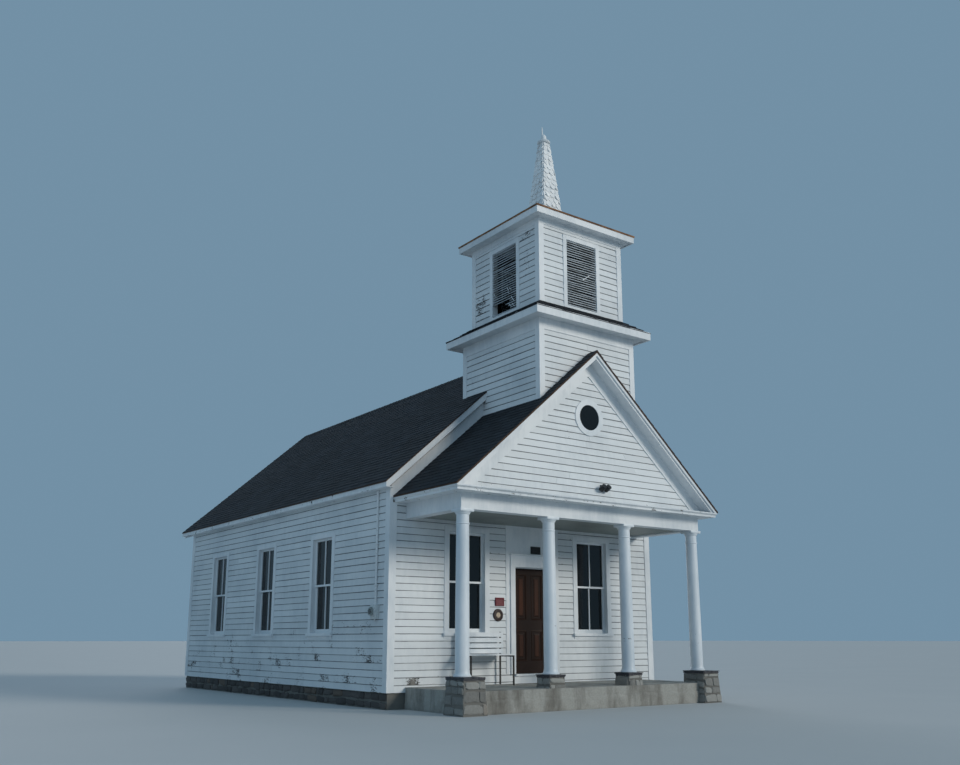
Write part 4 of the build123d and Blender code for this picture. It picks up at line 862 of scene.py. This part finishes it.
def lay_shingles(name, corner, along, up, outline, finish, slot, course=0.127, tab=0.305, cut=0.006,
                 thick=0.007, curl=0.004, stray=0.0, round_butt=0.0, wear=0.5, seed=1, skip=lambda p: False):
    """Tabs over a roof face: corner is the outline's zero, along runs with the eave and up runs up the slope.
    round_butt is how far the middle of a tab's foot hangs below its corners."""
    chance = random.Random(seed)
    out = along.cross(up).normalized()
    shape, tone, worn = start_shape("tone", "wear")
    left = min(u for u, v in outline)
    right = max(u for u, v in outline)
    low = min(v for u, v in outline)
    high = max(v for u, v in outline)
    for row in range(ceil((high - low) / course)):
        v0 = low + row * course
        shift = -chance.random() * tab if stray else -(row % 2) * tab / 2
        count = ceil((right - left - shift) / tab) + 1
        for k in range(count):
            u0 = left + shift + k * tab + cut / 2
            u1 = u0 + tab - cut
            foot = v0 + chance.uniform(-stray, stray)
            head = v0 + course * HEAD_LAP
            steps = BUTT_STEPS if round_butt else 1
            edge = [(u0 + (u1 - u0) * t / steps, foot - round_butt * sin(pi * t / steps))
                    for t in range(steps + 1)]
            piece = clip([*edge, (u1, head), (u0, head)], outline)
            if len(piece) < 3:
                continue
            middle = corner + along * (sum(p[0] for p in piece) / len(piece)) + up * (v0 + course / 2)
            if skip(middle):
                continue
            lift = chance.uniform(0, curl)
            twist = chance.uniform(-curl, curl) * 0.5
            shade = chance.random()
            back = [corner + along * u + up * v for u, v in piece]
            front = []
            for u, v in piece:
                share = max(0, (v - foot) / (head - foot))
                depth = thick * (1 - share) + BED_T + lift * (1 - share) ** 2
                depth += twist * (1 - share) * (2 * (u - u0) / (u1 - u0) - 1)
                front.append(corner + along * u + up * v + out * max(depth, 0.001))
            closed_prism(shape, back, front, ((tone, shade), (worn, wear)))
    for v in shape.verts:
        v.co = Vector([min(max(c, near + INSIDE_BOX), far - INSIDE_BOX) for c, near, far in zip(v.co, *cad_box)])
    return make_piece(name, shape, finish, slot)


def inside_tower(p):
    """Inside the walls of the tower, where no shingle is laid."""
    half = tower_half - 0.05
    return abs(p.x) < half and abs(p.y - tower_y) < half and p.z < tower_cornice[0].z


def lay_gable_roof(name, half, low_y, high_y, edge_z, pitch, seed):
    """Shingles on both slopes of a gabled roof, just inside its edges."""
    slope_l = half * hypot(1, pitch)
    for side_name, side in SIDES:
        start_y = high_y if side < 0 else low_y
        near, far = 0.002, high_y - low_y - 0.002
        lay_shingles(
            f"shingles_{name}_{side_name}",
            Vector((side * half, start_y, edge_z)), Vector((0, side, 0)), Vector((-side, 0, pitch)).normalized(),
            [(near, 0.003), (far, 0.003), (far, slope_l), (near, slope_l)],
            SHINGLE, "shingle", seed=seed + side, skip=inside_tower,
        )


lay_gable_roof("main", eave_x, roof_low.y, roof_high.y, eave_z, main_pitch, 72)
lay_gable_roof("porch", porch_high.x, porch_low.y, front_y, porch_edge_z, porch_pitch, 76)


def lay_hipped_roof(name, base, top_half, edge_t, finish, slot, seed, over=0.0, **way):
    """Shingles on the four slopes of a square roof or spire, lapping so far over its foot."""
    low, high = base
    half = high.x
    run = half - top_half
    rise = high.z - low.z - edge_t
    slope_l = hypot(run, rise)
    for quarter, (side_name, along, out) in enumerate(FACES):
        corner = tower_axis + Vector((0, 0, low.z + edge_t)) + out * half - along * half
        up = (Vector((0, 0, rise)) - out * run) / slope_l
        hip = over * run / slope_l
        lay_shingles(f"shingles_{name}_{side_name}", corner, along, up,
                     [(-hip, -over), (2 * half + hip, -over), (half + top_half, slope_l), (run, slope_l)],
                     finish, slot, seed=seed + quarter, **way)


lay_hipped_roof("skirt", skirt, belfry_half, EDGE_T, SHINGLE, "shingle", 81, over=0.022, thick=0.012, curl=0.01)
lay_hipped_roof("belfry", belfry_roof, spire[1].x, EDGE_T, SHINGLE, "shingle", 85)
SPIRE_TOP_HALF = 0.08
lay_hipped_roof("spire", spire, SPIRE_TOP_HALF, 0.0, SPIRE_PAINT_SUNLIT, "spire_paint", 91, course=0.115, tab=0.135,
                cut=0.01, thick=0.015, curl=0.018, stray=0.012, round_butt=0.045, wear=0.36)


# Caps folded over the ridges
CAP_REACH = 0.13
CAP_L = 0.2
CAP_SHOWS = 0.14


def lay_ridge(name, from_y, to_y, peak_z, pitch, seed):
    """Shingle caps folded over a ridge, each lapping the one before."""
    chance = random.Random(seed)
    shape, tone = start_shape("tone")
    y = from_y
    while y < to_y:
        ends = []
        for at_y, lift in ((y, 0.013 + chance.uniform(0, 0.006)), (min(y + CAP_L, to_y), 0.005)):
            low = peak_z - CAP_REACH * pitch
            ends.append([Vector((x, at_y, z)) for x, z in (
                (-CAP_REACH, low), (0, peak_z), (CAP_REACH, low),
                (CAP_REACH + 0.004, low + lift), (0, peak_z + lift + 0.004), (-CAP_REACH - 0.004, low + lift))])
        closed_prism(shape, *ends, [(tone, chance.random())])
        y += CAP_SHOWS
    make_piece(name, shape, SHINGLE, "shingle")


lay_ridge("ridge_main", tower_y + tower_half, roof_high.y - 0.004, ridge_z, main_pitch, 95)
lay_ridge("ridge_porch", porch_low.y + 0.004, tower_low.y, porch_high.z, porch_pitch, 96)

# Fascia boards and drip edges mitred round the tower


def lay_band(name, half, section, finish, slot="white_trim"):
    """A board mitred round a square about the tower's axis; section is (outward, level) pairs."""
    shape = bmesh.new()
    join_rings(shape, [[shape.verts.new(tower_axis + Vector((x * (half + out), y * (half + out), z)))
                        for out, z in section] for x, y in ((-1, -1), (1, -1), (1, 1), (-1, 1))])
    make_piece(name, shape, finish, slot)


tower_top_z = tower_cornice[1].z
belfry_top_z = belfry_cornice[1].z
lay_band("fascia_tower", tower_cornice[1].x, [
    (-0.01, tower_top_z - 0.128), (0.022, tower_top_z - 0.128), (0.024, tower_top_z + 0.032),
    (0.004, tower_top_z + 0.034), (0.0, tower_top_z)], CORNICE)
lay_band("fascia_belfry", belfry_cornice[1].x, [
    (-0.01, belfry_top_z - 0.138), (0.018, belfry_top_z - 0.138), (0.020, belfry_top_z - 0.008),
    (0.0, belfry_top_z - 0.008)], CORNICE)
lay_band("drip_edge_belfry", belfry_cornice[1].x, [
    (0.0, belfry_top_z - 0.006), (0.030, belfry_top_z - 0.012), (0.036, belfry_top_z + 0.018),
    (0.010, belfry_top_z + 0.036), (0.0, belfry_top_z + 0.01)], DRIP_EDGE)

# Finial: a round collar, an urn and a spike that leans off its middle
finial_foot = tower_axis + Vector((0, 0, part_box("finial")[0].z))
finial = bmesh.new()
turn(finial, finial_foot, UP, (
    (0.122, 0.0), (0.138, 0.006), (0.1405, 0.018), (0.132, 0.026), (0.1405, 0.034), (0.138, 0.05), (0.118, 0.06),
    (0.052, 0.066), (0.04, 0.078), (0.052, 0.094), (0.06, 0.12), (0.061, 0.156), (0.055, 0.182), (0.043, 0.206),
    (0.028, 0.222), (0.02, 0.232)))
turn(finial, finial_foot + Vector((-0.024, 0.018, 0.18)), UP, (
    (0.019, 0.0), (0.016, 0.1), (0.012, 0.2), (0.009, 0.226), (0.003, 0.233)), count=20)
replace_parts(make_piece("turned_finial", finial, SPIRE_PAINT_SUNLIT, "spire_paint", smooth=True), "finial")

# Louvres: 28 slats an opening, cut plumb at their front edges; the left one has lost some near its foot
LOUVRE_CASING_W = 0.092
LOUVRE_CASING_T = 0.024
LOUVRE_H = 1.39
SLATS_EACH = 28
SLAT_T = 0.016
SLAT_DEPTH = 0.06
SLAT_RISE = 0.04
SLAT_SLIP = 0.016  # of a slat that has dropped at one end
BROKEN_SLATS = (1, 2, 3, 4)
SLAT_SECTION = ((0, 0), (0, SLAT_T), (SLAT_DEPTH, SLAT_T + SLAT_RISE), (SLAT_DEPTH, SLAT_RISE))
louvre_foot = louvre_head_z - LOUVRE_CASING_W - LOUVRE_H
slat_half = louvre_half - LOUVRE_CASING_W
slat_pitch = LOUVRE_H / SLATS_EACH
for quarter, (name, along, out) in enumerate(FACES):
    chance = random.Random(171 + quarter)
    slats, tone = start_shape("tone")
    face_out = belfry_half + LOUVRE_CASING_T - 0.01
    for number in range(SLATS_EACH):
        z = louvre_foot + (number + 0.25) * slat_pitch
        left, right = -slat_half, slat_half
        if name == "left" and number in BROKEN_SLATS:
            left = chance.uniform(0.02, 0.2)
        slips = [chance.uniform(-0.002, 0.002) - (SLAT_SLIP if chance.random() < 0.07 else 0) for end in range(2)]
        place = tower_face(along, out, face_out - chance.uniform(0, 0.006))
        ends = [[place(u, z + slip + rise, -d) for d, rise in SLAT_SECTION]
                for u, slip in zip((left, right), slips)]
        closed_prism(slats, *ends, [(tone, chance.random())])
    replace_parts(make_piece(f"louvre_slats_{name}", slats, SLATS, "louvre_wood"), "belfry_louvres")

# Slats that have come loose in the left opening, and a lath fallen across the front one


def lay_loose_slats(name, plane, slats):
    """Broken slats against the louvres. plane(u, z, d) is a point of the opening; each slat is its two ends
    (u, z), its width and how far it hangs out."""
    shape, tone = start_shape("tone")
    for number, ((u0, z0), (u1, z1), width, out) in enumerate(slats):
        length = hypot(u1 - u0, z1 - z0)
        across = Vector((-(z1 - z0), u1 - u0)) / length * width / 2
        ends = [(u0 - across.x, z0 - across.y), (u0 + across.x, z0 + across.y),
                (u0 + (u1 - u0) * 0.55, z0 + (z1 - z0) * 0.55 + width * 0.3),
                (u1 + across.x, z1 + across.y), (u1 - across.x * 0.2, z1 - across.y * 0.2)]
        closed_prism(shape, [plane(u, z, out) for u, z in ends], [plane(u, z, out + 0.009) for u, z in ends],
                     [(tone, number % 3 / 3)])
    make_piece(name, shape, TRIM, "louvre_wood")


lay_loose_slats(
    "loose_slats_left",
    lambda u, z, d: Vector((-belfry_half - 0.02 - d, tower_y - u, louvre_foot + z)), [
        ((0.1, 0.52), (0.15, 0.43), 0.013, 0.0), ((0.19, 0.48), (0.25, 0.42), 0.012, 0.01),
        ((0.14, 0.4), (0.2, 0.35), 0.013, 0.014), ((0.24, 0.28), (0.31, 0.19), 0.016, 0.004),
        ((0.3, 0.21), (0.36, 0.14), 0.014, 0.014), ((0.17, 0.14), (0.25, 0.06), 0.015, 0.0),
        ((0.28, 0.12), (0.35, 0.04), 0.016, 0.01), ((-0.33, 0.5), (-0.29, 0.44), 0.014, 0.004)])
lay_loose_slats(
    "loose_lath_front",
    lambda u, z, d: Vector((u, tower_y - belfry_half - 0.02 - d, louvre_foot + z)), [
        ((0.02, 0.62), (0.2, 0.74), 0.02, 0.0)])

# Columns turned from pine: plinth, flared foot, swelling shaft, astragal, neck, echinus and square abacus
COLUMN_FOOT = (
    (0.150, 0.0), (0.156, 0.003), (0.156, 0.016), (0.151, 0.019), (0.1465, 0.026), (0.138, 0.037), (0.131, 0.053),
    (0.1262, 0.073), (0.1225, 0.098))
COLUMN_HEAD = (
    (0.1112, 2.535), (0.1178, 2.541), (0.1222, 2.549), (0.1222, 2.554), (0.1178, 2.562), (0.1112, 2.566),
    (0.1110, 2.704), (0.1165, 2.706), (0.1245, 2.712), (0.1265, 2.721), (0.1270, 2.727), (0.1345, 2.735),
    (0.1405, 2.745), (0.1425, 2.753))
SHAFT_RINGS = 16
SHAFT_FOOT_R, SHAFT_HEAD_R = 0.1225, 0.1112
SHAFT_FOOT_Z, SHAFT_HEAD_Z = 0.098, 2.535
ABACUS_HALF = 0.1425
ABACUS_FOOT_Z, ABACUS_TOP_Z = 2.753, 2.801
for number, (low, high, _) in enumerate(in_order("porch_columns")):
    foot = Vector(((low.x + high.x) / 2, (low.y + high.y) / 2, low.z))
    column, worn = start_shape("wear")
    shaft = [(SHAFT_FOOT_R - (SHAFT_FOOT_R - SHAFT_HEAD_R) * (k / SHAFT_RINGS) ** 1.5,
              SHAFT_FOOT_Z + (SHAFT_HEAD_Z - SHAFT_FOOT_Z) * k / SHAFT_RINGS) for k in range(1, SHAFT_RINGS)]
    turn(column, foot, UP, [*COLUMN_FOOT, *shaft, *COLUMN_HEAD], count=56)
    block(column, foot + Vector((-ABACUS_HALF, -ABACUS_HALF, ABACUS_FOOT_Z)),
          foot + Vector((ABACUS_HALF, ABACUS_HALF, ABACUS_TOP_Z)), 0.004)
    for v in column.verts:
        rise = v.co.z - foot.z
        v[worn] = 0.46 if rise < 0.1 else 0.57 if 0.35 < rise < 1.0 else 0.2
    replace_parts(make_piece(f"column_{number + 1}", column, COLUMN_PAINT, "column_paint", smooth=True),
                "porch_columns")

# Fieldstones, each a rounded block sunk in the mortar
STONE_SQUARENESS = 0.42  # 1 is a ball, 0 a block
BED_JOINT = 0.006


def lay_stones(name, place, width, height, seed, mean_w=0.26, mean_h=0.13, out=0.03, finish=STONE):
    """Rough courses of stones on a face. place(u, z, d) is a point a distance d outside it."""
    chance = random.Random(seed)
    shape, tone = start_shape("tone")
    z = 0.004
    while z < height - 0.03:
        course_h = min(chance.uniform(0.7, 1.3) * mean_h, height - z)
        if height - z - course_h < mean_h * 0.4:
            course_h = height - z
        u = -width / 2 + chance.uniform(0, 0.02)
        while u < width / 2 - 0.03:
            stone_w = min(chance.uniform(0.5, 1.6) * mean_w, width / 2 - u)
            if width / 2 - u - stone_w < mean_w * 0.35:
                stone_w = width / 2 - u
            drop = chance.uniform(0, 0.3) * course_h
            ball = bmesh.new()
            bmesh.ops.create_icosphere(ball, subdivisions=3, radius=1)
            twist = chance.uniform(-0.25, 0.25)
            shift = Vector((chance.random() * 50, chance.random() * 50, chance.random() * 50))
            shade = chance.random()
            depth = out * chance.uniform(0.6, 1.2)
            made = {}
            for v in ball.verts:
                p = [abs(c) ** STONE_SQUARENESS * (1 if c > 0 else -1) for c in v.co]
                bump = 1 + 0.24 * noise.noise(v.co * 1.4 + shift) + 0.09 * noise.noise(v.co * 5 + shift)
                a = p[0] * (stone_w / 2 - BED_JOINT) * bump
                b = p[2] * (course_h / 2 - BED_JOINT - drop / 2) * bump + twist * a * 0.4
                at_u = min(max(u + stone_w / 2 + a, -width / 2 + 0.002), width / 2 - 0.002)
                at_z = min(max(z + course_h / 2 + b, 0.002), height - 0.002)
                corner = shape.verts.new(place(at_u, at_z, p[1] * depth * bump - 0.004))
                corner[tone] = shade
                made[v.index] = corner
            for f in ball.faces:
                shape.faces.new([made[v.index] for v in f.verts])
            ball.free()
            u += stone_w
        z += course_h
    make_piece(name, shape, finish, "fieldstone", smooth=True)


base_low, base_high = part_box("foundation")
base_mid_y = (base_low.y + base_high.y) / 2
base_l = base_high.y - base_low.y
# The foundation stones take the darker copy of the fieldstone, painted shade
for name, place, width, seed in (
    ("left", lambda u, z, d: Vector((base_low.x - d, base_mid_y - u, z)), base_l, 101),
    ("right", lambda u, z, d: Vector((base_high.x + d, base_mid_y + u, z)), base_l, 102),
    ("rear", lambda u, z, d: Vector((-u, base_high.y + d, z)), base_high.x - base_low.x, 103),
):
    lay_stones(f"stones_{name}", place, width, base_high.z, seed, finish=SHADED_STONE)

# Slab: below its smooth top band the concrete is rough and crumbling

SLAB_TOP_T = 0.11
LUMP_CELL = 0.035
CRUST_T = 0.017
RAGGED_EDGE = 0.035
rough_h = slab_high.z - SLAB_TOP_T
slab_mid_y = (slab_low.y + slab_high.y) / 2


def lay_rough_face(name, place, width, height, seed):
    """A lumpy crust of concrete on a face, with a ragged top edge. place(u, z, d) is a point outside it."""
    shape = bmesh.new()
    across = round(width / LUMP_CELL)
    rows = round(height / LUMP_CELL)
    grid = []
    for i in range(across + 1):
        u = -width / 2 + 0.003 + (width - 0.006) * i / across
        ragged = RAGGED_EDGE * noise.noise(Vector((u * 4, seed, 0.5)))
        column = []
        for j in range(rows + 1):
            z = 0.003 + (height - 0.04 + ragged) * j / rows
            lump = 0.5 + noise.noise(Vector((u * 4.5, z * 7, seed)))
            lump += 0.45 * noise.noise(Vector((u * 17, z * 17, seed)))
            edge = 0.25 if j in (0, rows) or i in (0, across) else 1
            column.append((u, z, 0.003 + CRUST_T * edge * max(0.05, lump)))
        grid.append(column)
    front = [[shape.verts.new(place(*spot)) for spot in column] for column in grid]
    for i in range(across):
        for j in range(rows):
            shape.faces.new((front[i][j], front[i + 1][j], front[i + 1][j + 1], front[i][j + 1]))
    rim = [(i, 0) for i in range(across)] + [(across, j) for j in range(rows)] + [
        (i, rows) for i in range(across, 0, -1)] + [(0, j) for j in range(rows, 0, -1)]
    back = [shape.verts.new(place(grid[i][j][0], grid[i][j][1], -0.004)) for i, j in rim]
    for k, (i, j) in enumerate(rim):
        m, (next_i, next_j) = (k + 1) % len(rim), rim[(k + 1) % len(rim)]
        shape.faces.new((front[i][j], back[k], back[m], front[next_i][next_j]))
    shape.faces.new(list(reversed(back)))
    make_piece(name, shape, CONCRETE, "concrete", smooth=True)


lay_rough_face("slab_crust_front", lambda u, z, d: Vector((u, slab_low.y - d, z)),
               slab_high.x - slab_low.x, rough_h, 105)
for name, side in SIDES:
    lay_rough_face(f"slab_crust_{name}",
                   lambda u, z, d: Vector((side * (slab_high.x + d), slab_mid_y + side * u, z)),
                   slab_high.y - slab_low.y, rough_h, 107 + side)

# Battered piers, with ragged leaves of slate for caps


def pier_face(foot, head, along, out):
    """Place on one battered face of a pier, from the rings of corners at its foot and its head."""
    low_a, low_b = reach_of(foot)
    high_a, high_b = reach_of(head)
    rise = high_a.z - low_a.z

    def place(u, z, d):
        share = z / rise
        half = (low_b - low_a) / 2 * (1 - share) + (high_b - high_a) / 2 * share
        middle = (low_a + low_b) / 2 * (1 - share) + (high_a + high_b) / 2 * share
        point = middle + along * u * abs(half.dot(along)) / abs(((low_b - low_a) / 2).dot(along))
        point += out * (abs(half.dot(out)) + d)
        point.y = max(point.y, cad_box[0].y + 0.001)
        return point

    return place, 2 * abs(((low_b - low_a) / 2).dot(along)), rise


for number, (low, high, points) in enumerate(in_order("porch_piers")):
    rings = [[p for p in points if abs(p.z - z) < 1e-3] for z in (low.z, high.z)]
    for quarter, (name, along, out) in enumerate(FACES):
        place, width, height = pier_face(*rings, along, out)
        lay_stones(f"pier_{number + 1}_stones_{name}", place, width, height, 111 + 10 * number + quarter,
                   mean_w=0.25, mean_h=0.165, out=0.026)


LEAVES = 5
CHIPS_A_SIDE = 14
LET_DOWN = 0.036


def lay_slate(name, low, high, seed):
    """A cap of ragged leaves of slate in a box; the lowest two are let down round the head of the pier."""
    chance = random.Random(seed)
    shape = bmesh.new()
    base_z = low.z - LET_DOWN
    for leaf in range(LEAVES):
        foot = base_z + (high.z - base_z) * leaf / LEAVES
        head = base_z + (high.z - base_z) * (leaf + 0.93) / LEAVES
        inset = chance.uniform(0.004, 0.024) + (0.014 if leaf < 2 else 0)
        corners = [(low.x, low.y), (high.x, low.y), (high.x, high.y), (low.x, high.y)]
        ring = []
        for (x0, y0), (x1, y1) in zip(corners, corners[1:] + corners[:1]):
            for k in range(CHIPS_A_SIDE):
                t = (k + chance.uniform(-0.3, 0.3)) / CHIPS_A_SIDE if k else 0.02
                chip = inset + abs(chance.gauss(0, 0.007)) + (0.02 if chance.random() < 0.06 else 0)
                x, y = x0 + (x1 - x0) * t, y0 + (y1 - y0) * t
                ring.append((min(max(x, low.x + chip), high.x - chip),
                             min(max(y, low.y + chip), high.y - chip)))
        closed_prism(shape, [Vector((x, y, foot)) for x, y in ring],
                     [Vector((x + chance.uniform(-0.003, 0.003), y, head)) for x, y in ring])
    return make_piece(name, shape, SLATE, "slate")


for number, (low, high, _) in enumerate(in_order("pier_caps")):
    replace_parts(lay_slate(f"pier_{number + 1}_cap", low, high, 151 + number), "pier_caps")


# Door: mouldings round its panels, and a raised field in each
door_low, door_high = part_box("front_door")
STILE = 0.118
BOTTOM_RAIL = 0.235
LOCK_RAIL_FOOT, LOCK_RAIL_TOP = 0.83, 1.03
PANEL_DEPTH = 0.012
FIELD_INSET = 0.07
FIELD_BEVEL = 0.024
panel_edges = [(door_low.x + STILE, -STILE / 2), (STILE / 2, door_high.x - STILE)]
panel_heights = [(door_low.z + BOTTOM_RAIL, door_low.z + LOCK_RAIL_FOOT),
                 (door_low.z + LOCK_RAIL_TOP, door_high.z - STILE)]


def mitred_frame(shape, outer, section, level):
    """A moulding mitred round a panel: section is (inward, forward) pairs, level the y of the panel."""
    left, right, foot, head = outer
    rings = []
    for x_side, z_side in ((-1, -1), (1, -1), (1, 1), (-1, 1)):
        x = left if x_side < 0 else right
        z = foot if z_side < 0 else head
        rings.append([shape.verts.new((x - x_side * inward, level - forward, z - z_side * inward))
                      for inward, forward in section])
    join_rings(shape, rings)


mouldings = bmesh.new()
fields = bmesh.new()
for left, right in panel_edges:
    for foot, head in panel_heights:
        mitred_frame(mouldings, (left, right, foot, head), [
            (0, 0.0), (0, 0.017), (0.008, 0.019), (0.016, 0.014), (0.024, 0.015), (0.03, 0.008),
            (0.034, 0.0)], door_low.y + PANEL_DEPTH)
        mitred_frame(mouldings, (left + FIELD_INSET, right - FIELD_INSET, foot + FIELD_INSET, head - FIELD_INSET),
                     [(0, 0.0), (0.02, 0.007), (0.03, 0.007), (0.03, 0.0)], door_low.y + PANEL_DEPTH)
        rim = FIELD_INSET + FIELD_BEVEL
        block(fields, (left + rim, door_low.y + 0.002, foot + rim),
              (right - rim, door_low.y + 0.014, head - rim), 0.002)
make_piece("door_mouldings", mouldings, DOOR_EDGE, "door_wood", body="door")
make_piece("door_panel_fields", fields, DOOR_PANEL_SUNLIT, "door_wood", body="door")

# Plates by the door, all bare: a black one over it, a square one and a round one beside it


def lay_plate(name, left, right, foot, head, wall_y, finish, rim):
    """A bare board with a raised rim, planted on a wall that faces forward."""
    shape = bmesh.new()
    # The block comes last, because its bevel frees faces, and a frame made after it would take them in any order
    mitred_frame(shape, (left, right, foot, head),
                 [(0, 0.0), (0, 0.004), (rim * 0.3, 0.009), (rim * 0.8, 0.007), (rim, 0.0)], wall_y - 0.014)
    block(shape, (left, wall_y - 0.014, foot), (right, wall_y + 0.006, head), 0.002)
    make_piece(name, shape, finish, "white_trim")


surround_y = min(v.co.y for v in nodes["door_frame"].data.vertices if v.co.z > ceiling_z - 0.01)
board_y = front_y - BUTT_T
lay_plate("date_board", -0.052, 0.194, 2.906, 3.055, surround_y, BLACK_PLATE, 0.016)
lay_plate("square_plaque", -0.953, -0.741, 1.857, 2.015, board_y, RED_PLATE, 0.03)
for name, finish, rings in (
    ("round_plaque_ring", UMBER_PLATE, (
        (0.074, 0.0), (0.12, 0.002), (0.12, 0.012), (0.108, 0.026), (0.09, 0.028), (0.076, 0.016))),
    ("round_plaque_centre", PALE_PLATE, ((0.078, 0.0), (0.078, 0.012), (0.05, 0.016), (0.02, 0.018))),
):
    disc = bmesh.new()
    turn(disc, Vector((-0.882, board_y + 0.006, 1.68)), FORWARD, rings)
    make_piece(name, disc, finish, "white_trim", smooth=True)

# Electric meter: pressed box with a lid, glass cover in a metal ring, conduit in straps
METER_Y = front_y + 0.4
METER_Z = sill_z + 1.42
BOX_T = 0.09
BOX_HALF_W, BOX_HALF_H = 0.1, 0.13
LID_INSET = 0.012
STRAP_LEVELS = (2.2, 2.95, 3.65)
conduit_top_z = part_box("electric_meter")[1].z
box_x = -wall_x - BOX_T
meter = bmesh.new()
lid_w, lid_h = BOX_HALF_W - LID_INSET, BOX_HALF_H - LID_INSET
block(meter, (box_x, METER_Y - BOX_HALF_W, METER_Z - BOX_HALF_H),
      (-wall_x, METER_Y + BOX_HALF_W, METER_Z + BOX_HALF_H), 0.008)
block(meter, (box_x - 0.006, METER_Y - lid_w, METER_Z - lid_h),
      (box_x + 0.004, METER_Y + lid_w, METER_Z + lid_h), 0.003)
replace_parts(make_piece("meter_box", meter, METER_METAL, "meter_metal", smooth=True), "electric_meter")
conduit_r = 0.022
conduit_x = -wall_x - 0.034
meter = bmesh.new()
turn(meter, Vector((conduit_x, METER_Y, METER_Z + 0.12)), UP, (
    (0.034, 0.0), (0.034, 0.03), (0.028, 0.042), (conduit_r, 0.046), (conduit_r, conduit_top_z - METER_Z - 0.17),
    (0.026, conduit_top_z - METER_Z - 0.168), (0.026, conduit_top_z - METER_Z - 0.125)), count=24)
turn(meter, Vector((conduit_x, METER_Y + 0.03, METER_Z - 0.17)), UP, (
    (0.008, 0.0), (0.012, 0.012), (0.014, 0.05)), count=16)
for level in STRAP_LEVELS:
    block(meter, (-wall_x - 0.06, METER_Y - 0.045, level - 0.01),
          (-wall_x - 0.012, METER_Y + 0.045, level + 0.01), 0.003)
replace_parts(make_piece("meter_conduit", meter, CONDUIT, "meter_metal", smooth=True), "electric_meter")
for name, finish, slot, start, rings in (
    ("meter_ring", METER_METAL, "meter_metal", 0.0, (
        (0.09, 0.0), (0.093, 0.01), (0.093, 0.024), (0.086, 0.03), (0.07, 0.03))),
    ("meter_dial", METER_METAL, "meter_metal", 0.024, ((0.068, 0.0), (0.068, 0.026), (0.062, 0.034))),
    ("meter_face", BLACK_IRON, "meter_metal", 0.056, ((0.046, 0.0), (0.046, 0.006), (0.02, 0.009))),
    ("meter_cover", METER_GLASS, "glass", 0.022, (
        (0.078, 0.0), (0.077, 0.03), (0.073, 0.045), (0.06, 0.054), (0.03, 0.058))),
):
    round_part = bmesh.new()
    turn(round_part, Vector((box_x - start, METER_Y, METER_Z + 0.01)), Vector((-1, 0, 0)), rings)
    make_piece(name, round_part, finish, slot, smooth=True)

# Studio: pale floor, soft sun from the front right, a weak one from behind, a wide cool lamp on the left, sky
floor_mesh = bpy.data.meshes.new("studio_floor")
FLOOR_REACH = 800.0
floor_mesh.from_pydata([(x * FLOOR_REACH, y * FLOOR_REACH, 0) for x, y in ((-1, -1), (1, -1), (1, 1), (-1, 1))],
                       [], [(0, 1, 2, 3)])
floor_mesh.materials.append(studio_floor())
studio = bpy.data.objects.new("studio_floor", floor_mesh)
bpy.context.scene.collection.objects.link(studio)

sky = bpy.data.worlds.new("studio_sky")
sky.use_nodes = True
bpy.context.scene.world = sky
backdrop = sky.node_tree.nodes["Background"].inputs
backdrop["Color"].default_value = srgb("#8fb3cd")
backdrop["Strength"].default_value = 0.62


def shine(name, kind, energy, code, place, aim, size):
    """A studio lamp at a place, turned to a point."""
    lamp = bpy.data.lights.new(name, kind)
    lamp.energy = energy
    lamp.color = srgb(code)[:3]
    if kind == "SUN":
        lamp.angle = size
    else:
        lamp.size = size
    holder = bpy.data.objects.new(name, lamp)
    holder.location = place
    holder.rotation_euler = (Vector(aim) - Vector(place)).to_track_quat("-Z", "Y").to_euler()
    bpy.context.scene.collection.objects.link(holder)


shine("key", "SUN", 1.5, "#fff9ee", (15.4, -26.7, 15.8), (0, 0, 4), radians(18))
shine("rim", "SUN", 0.6, "#f1f6ff", (14, 30, 14), (0, 0, 4), radians(30))
shine("fill", "AREA", 420, "#cfe2f5", (-22, -16, 14), (0, -2, 4), 14)

camera = bpy.data.objects.new("camera", bpy.data.cameras.new("camera"))
camera.location = (-12.244, -19.250, 1.214)
camera.rotation_euler = (radians(90 + 12.478), 0, radians(-36.248))
camera.data.lens = 35.44
camera.data.shift_y = 0.05
camera.data.clip_end = 1500
bpy.context.scene.collection.objects.link(camera)
bpy.context.scene.camera = camera
bpy.context.scene.view_settings.view_transform = "Standard"
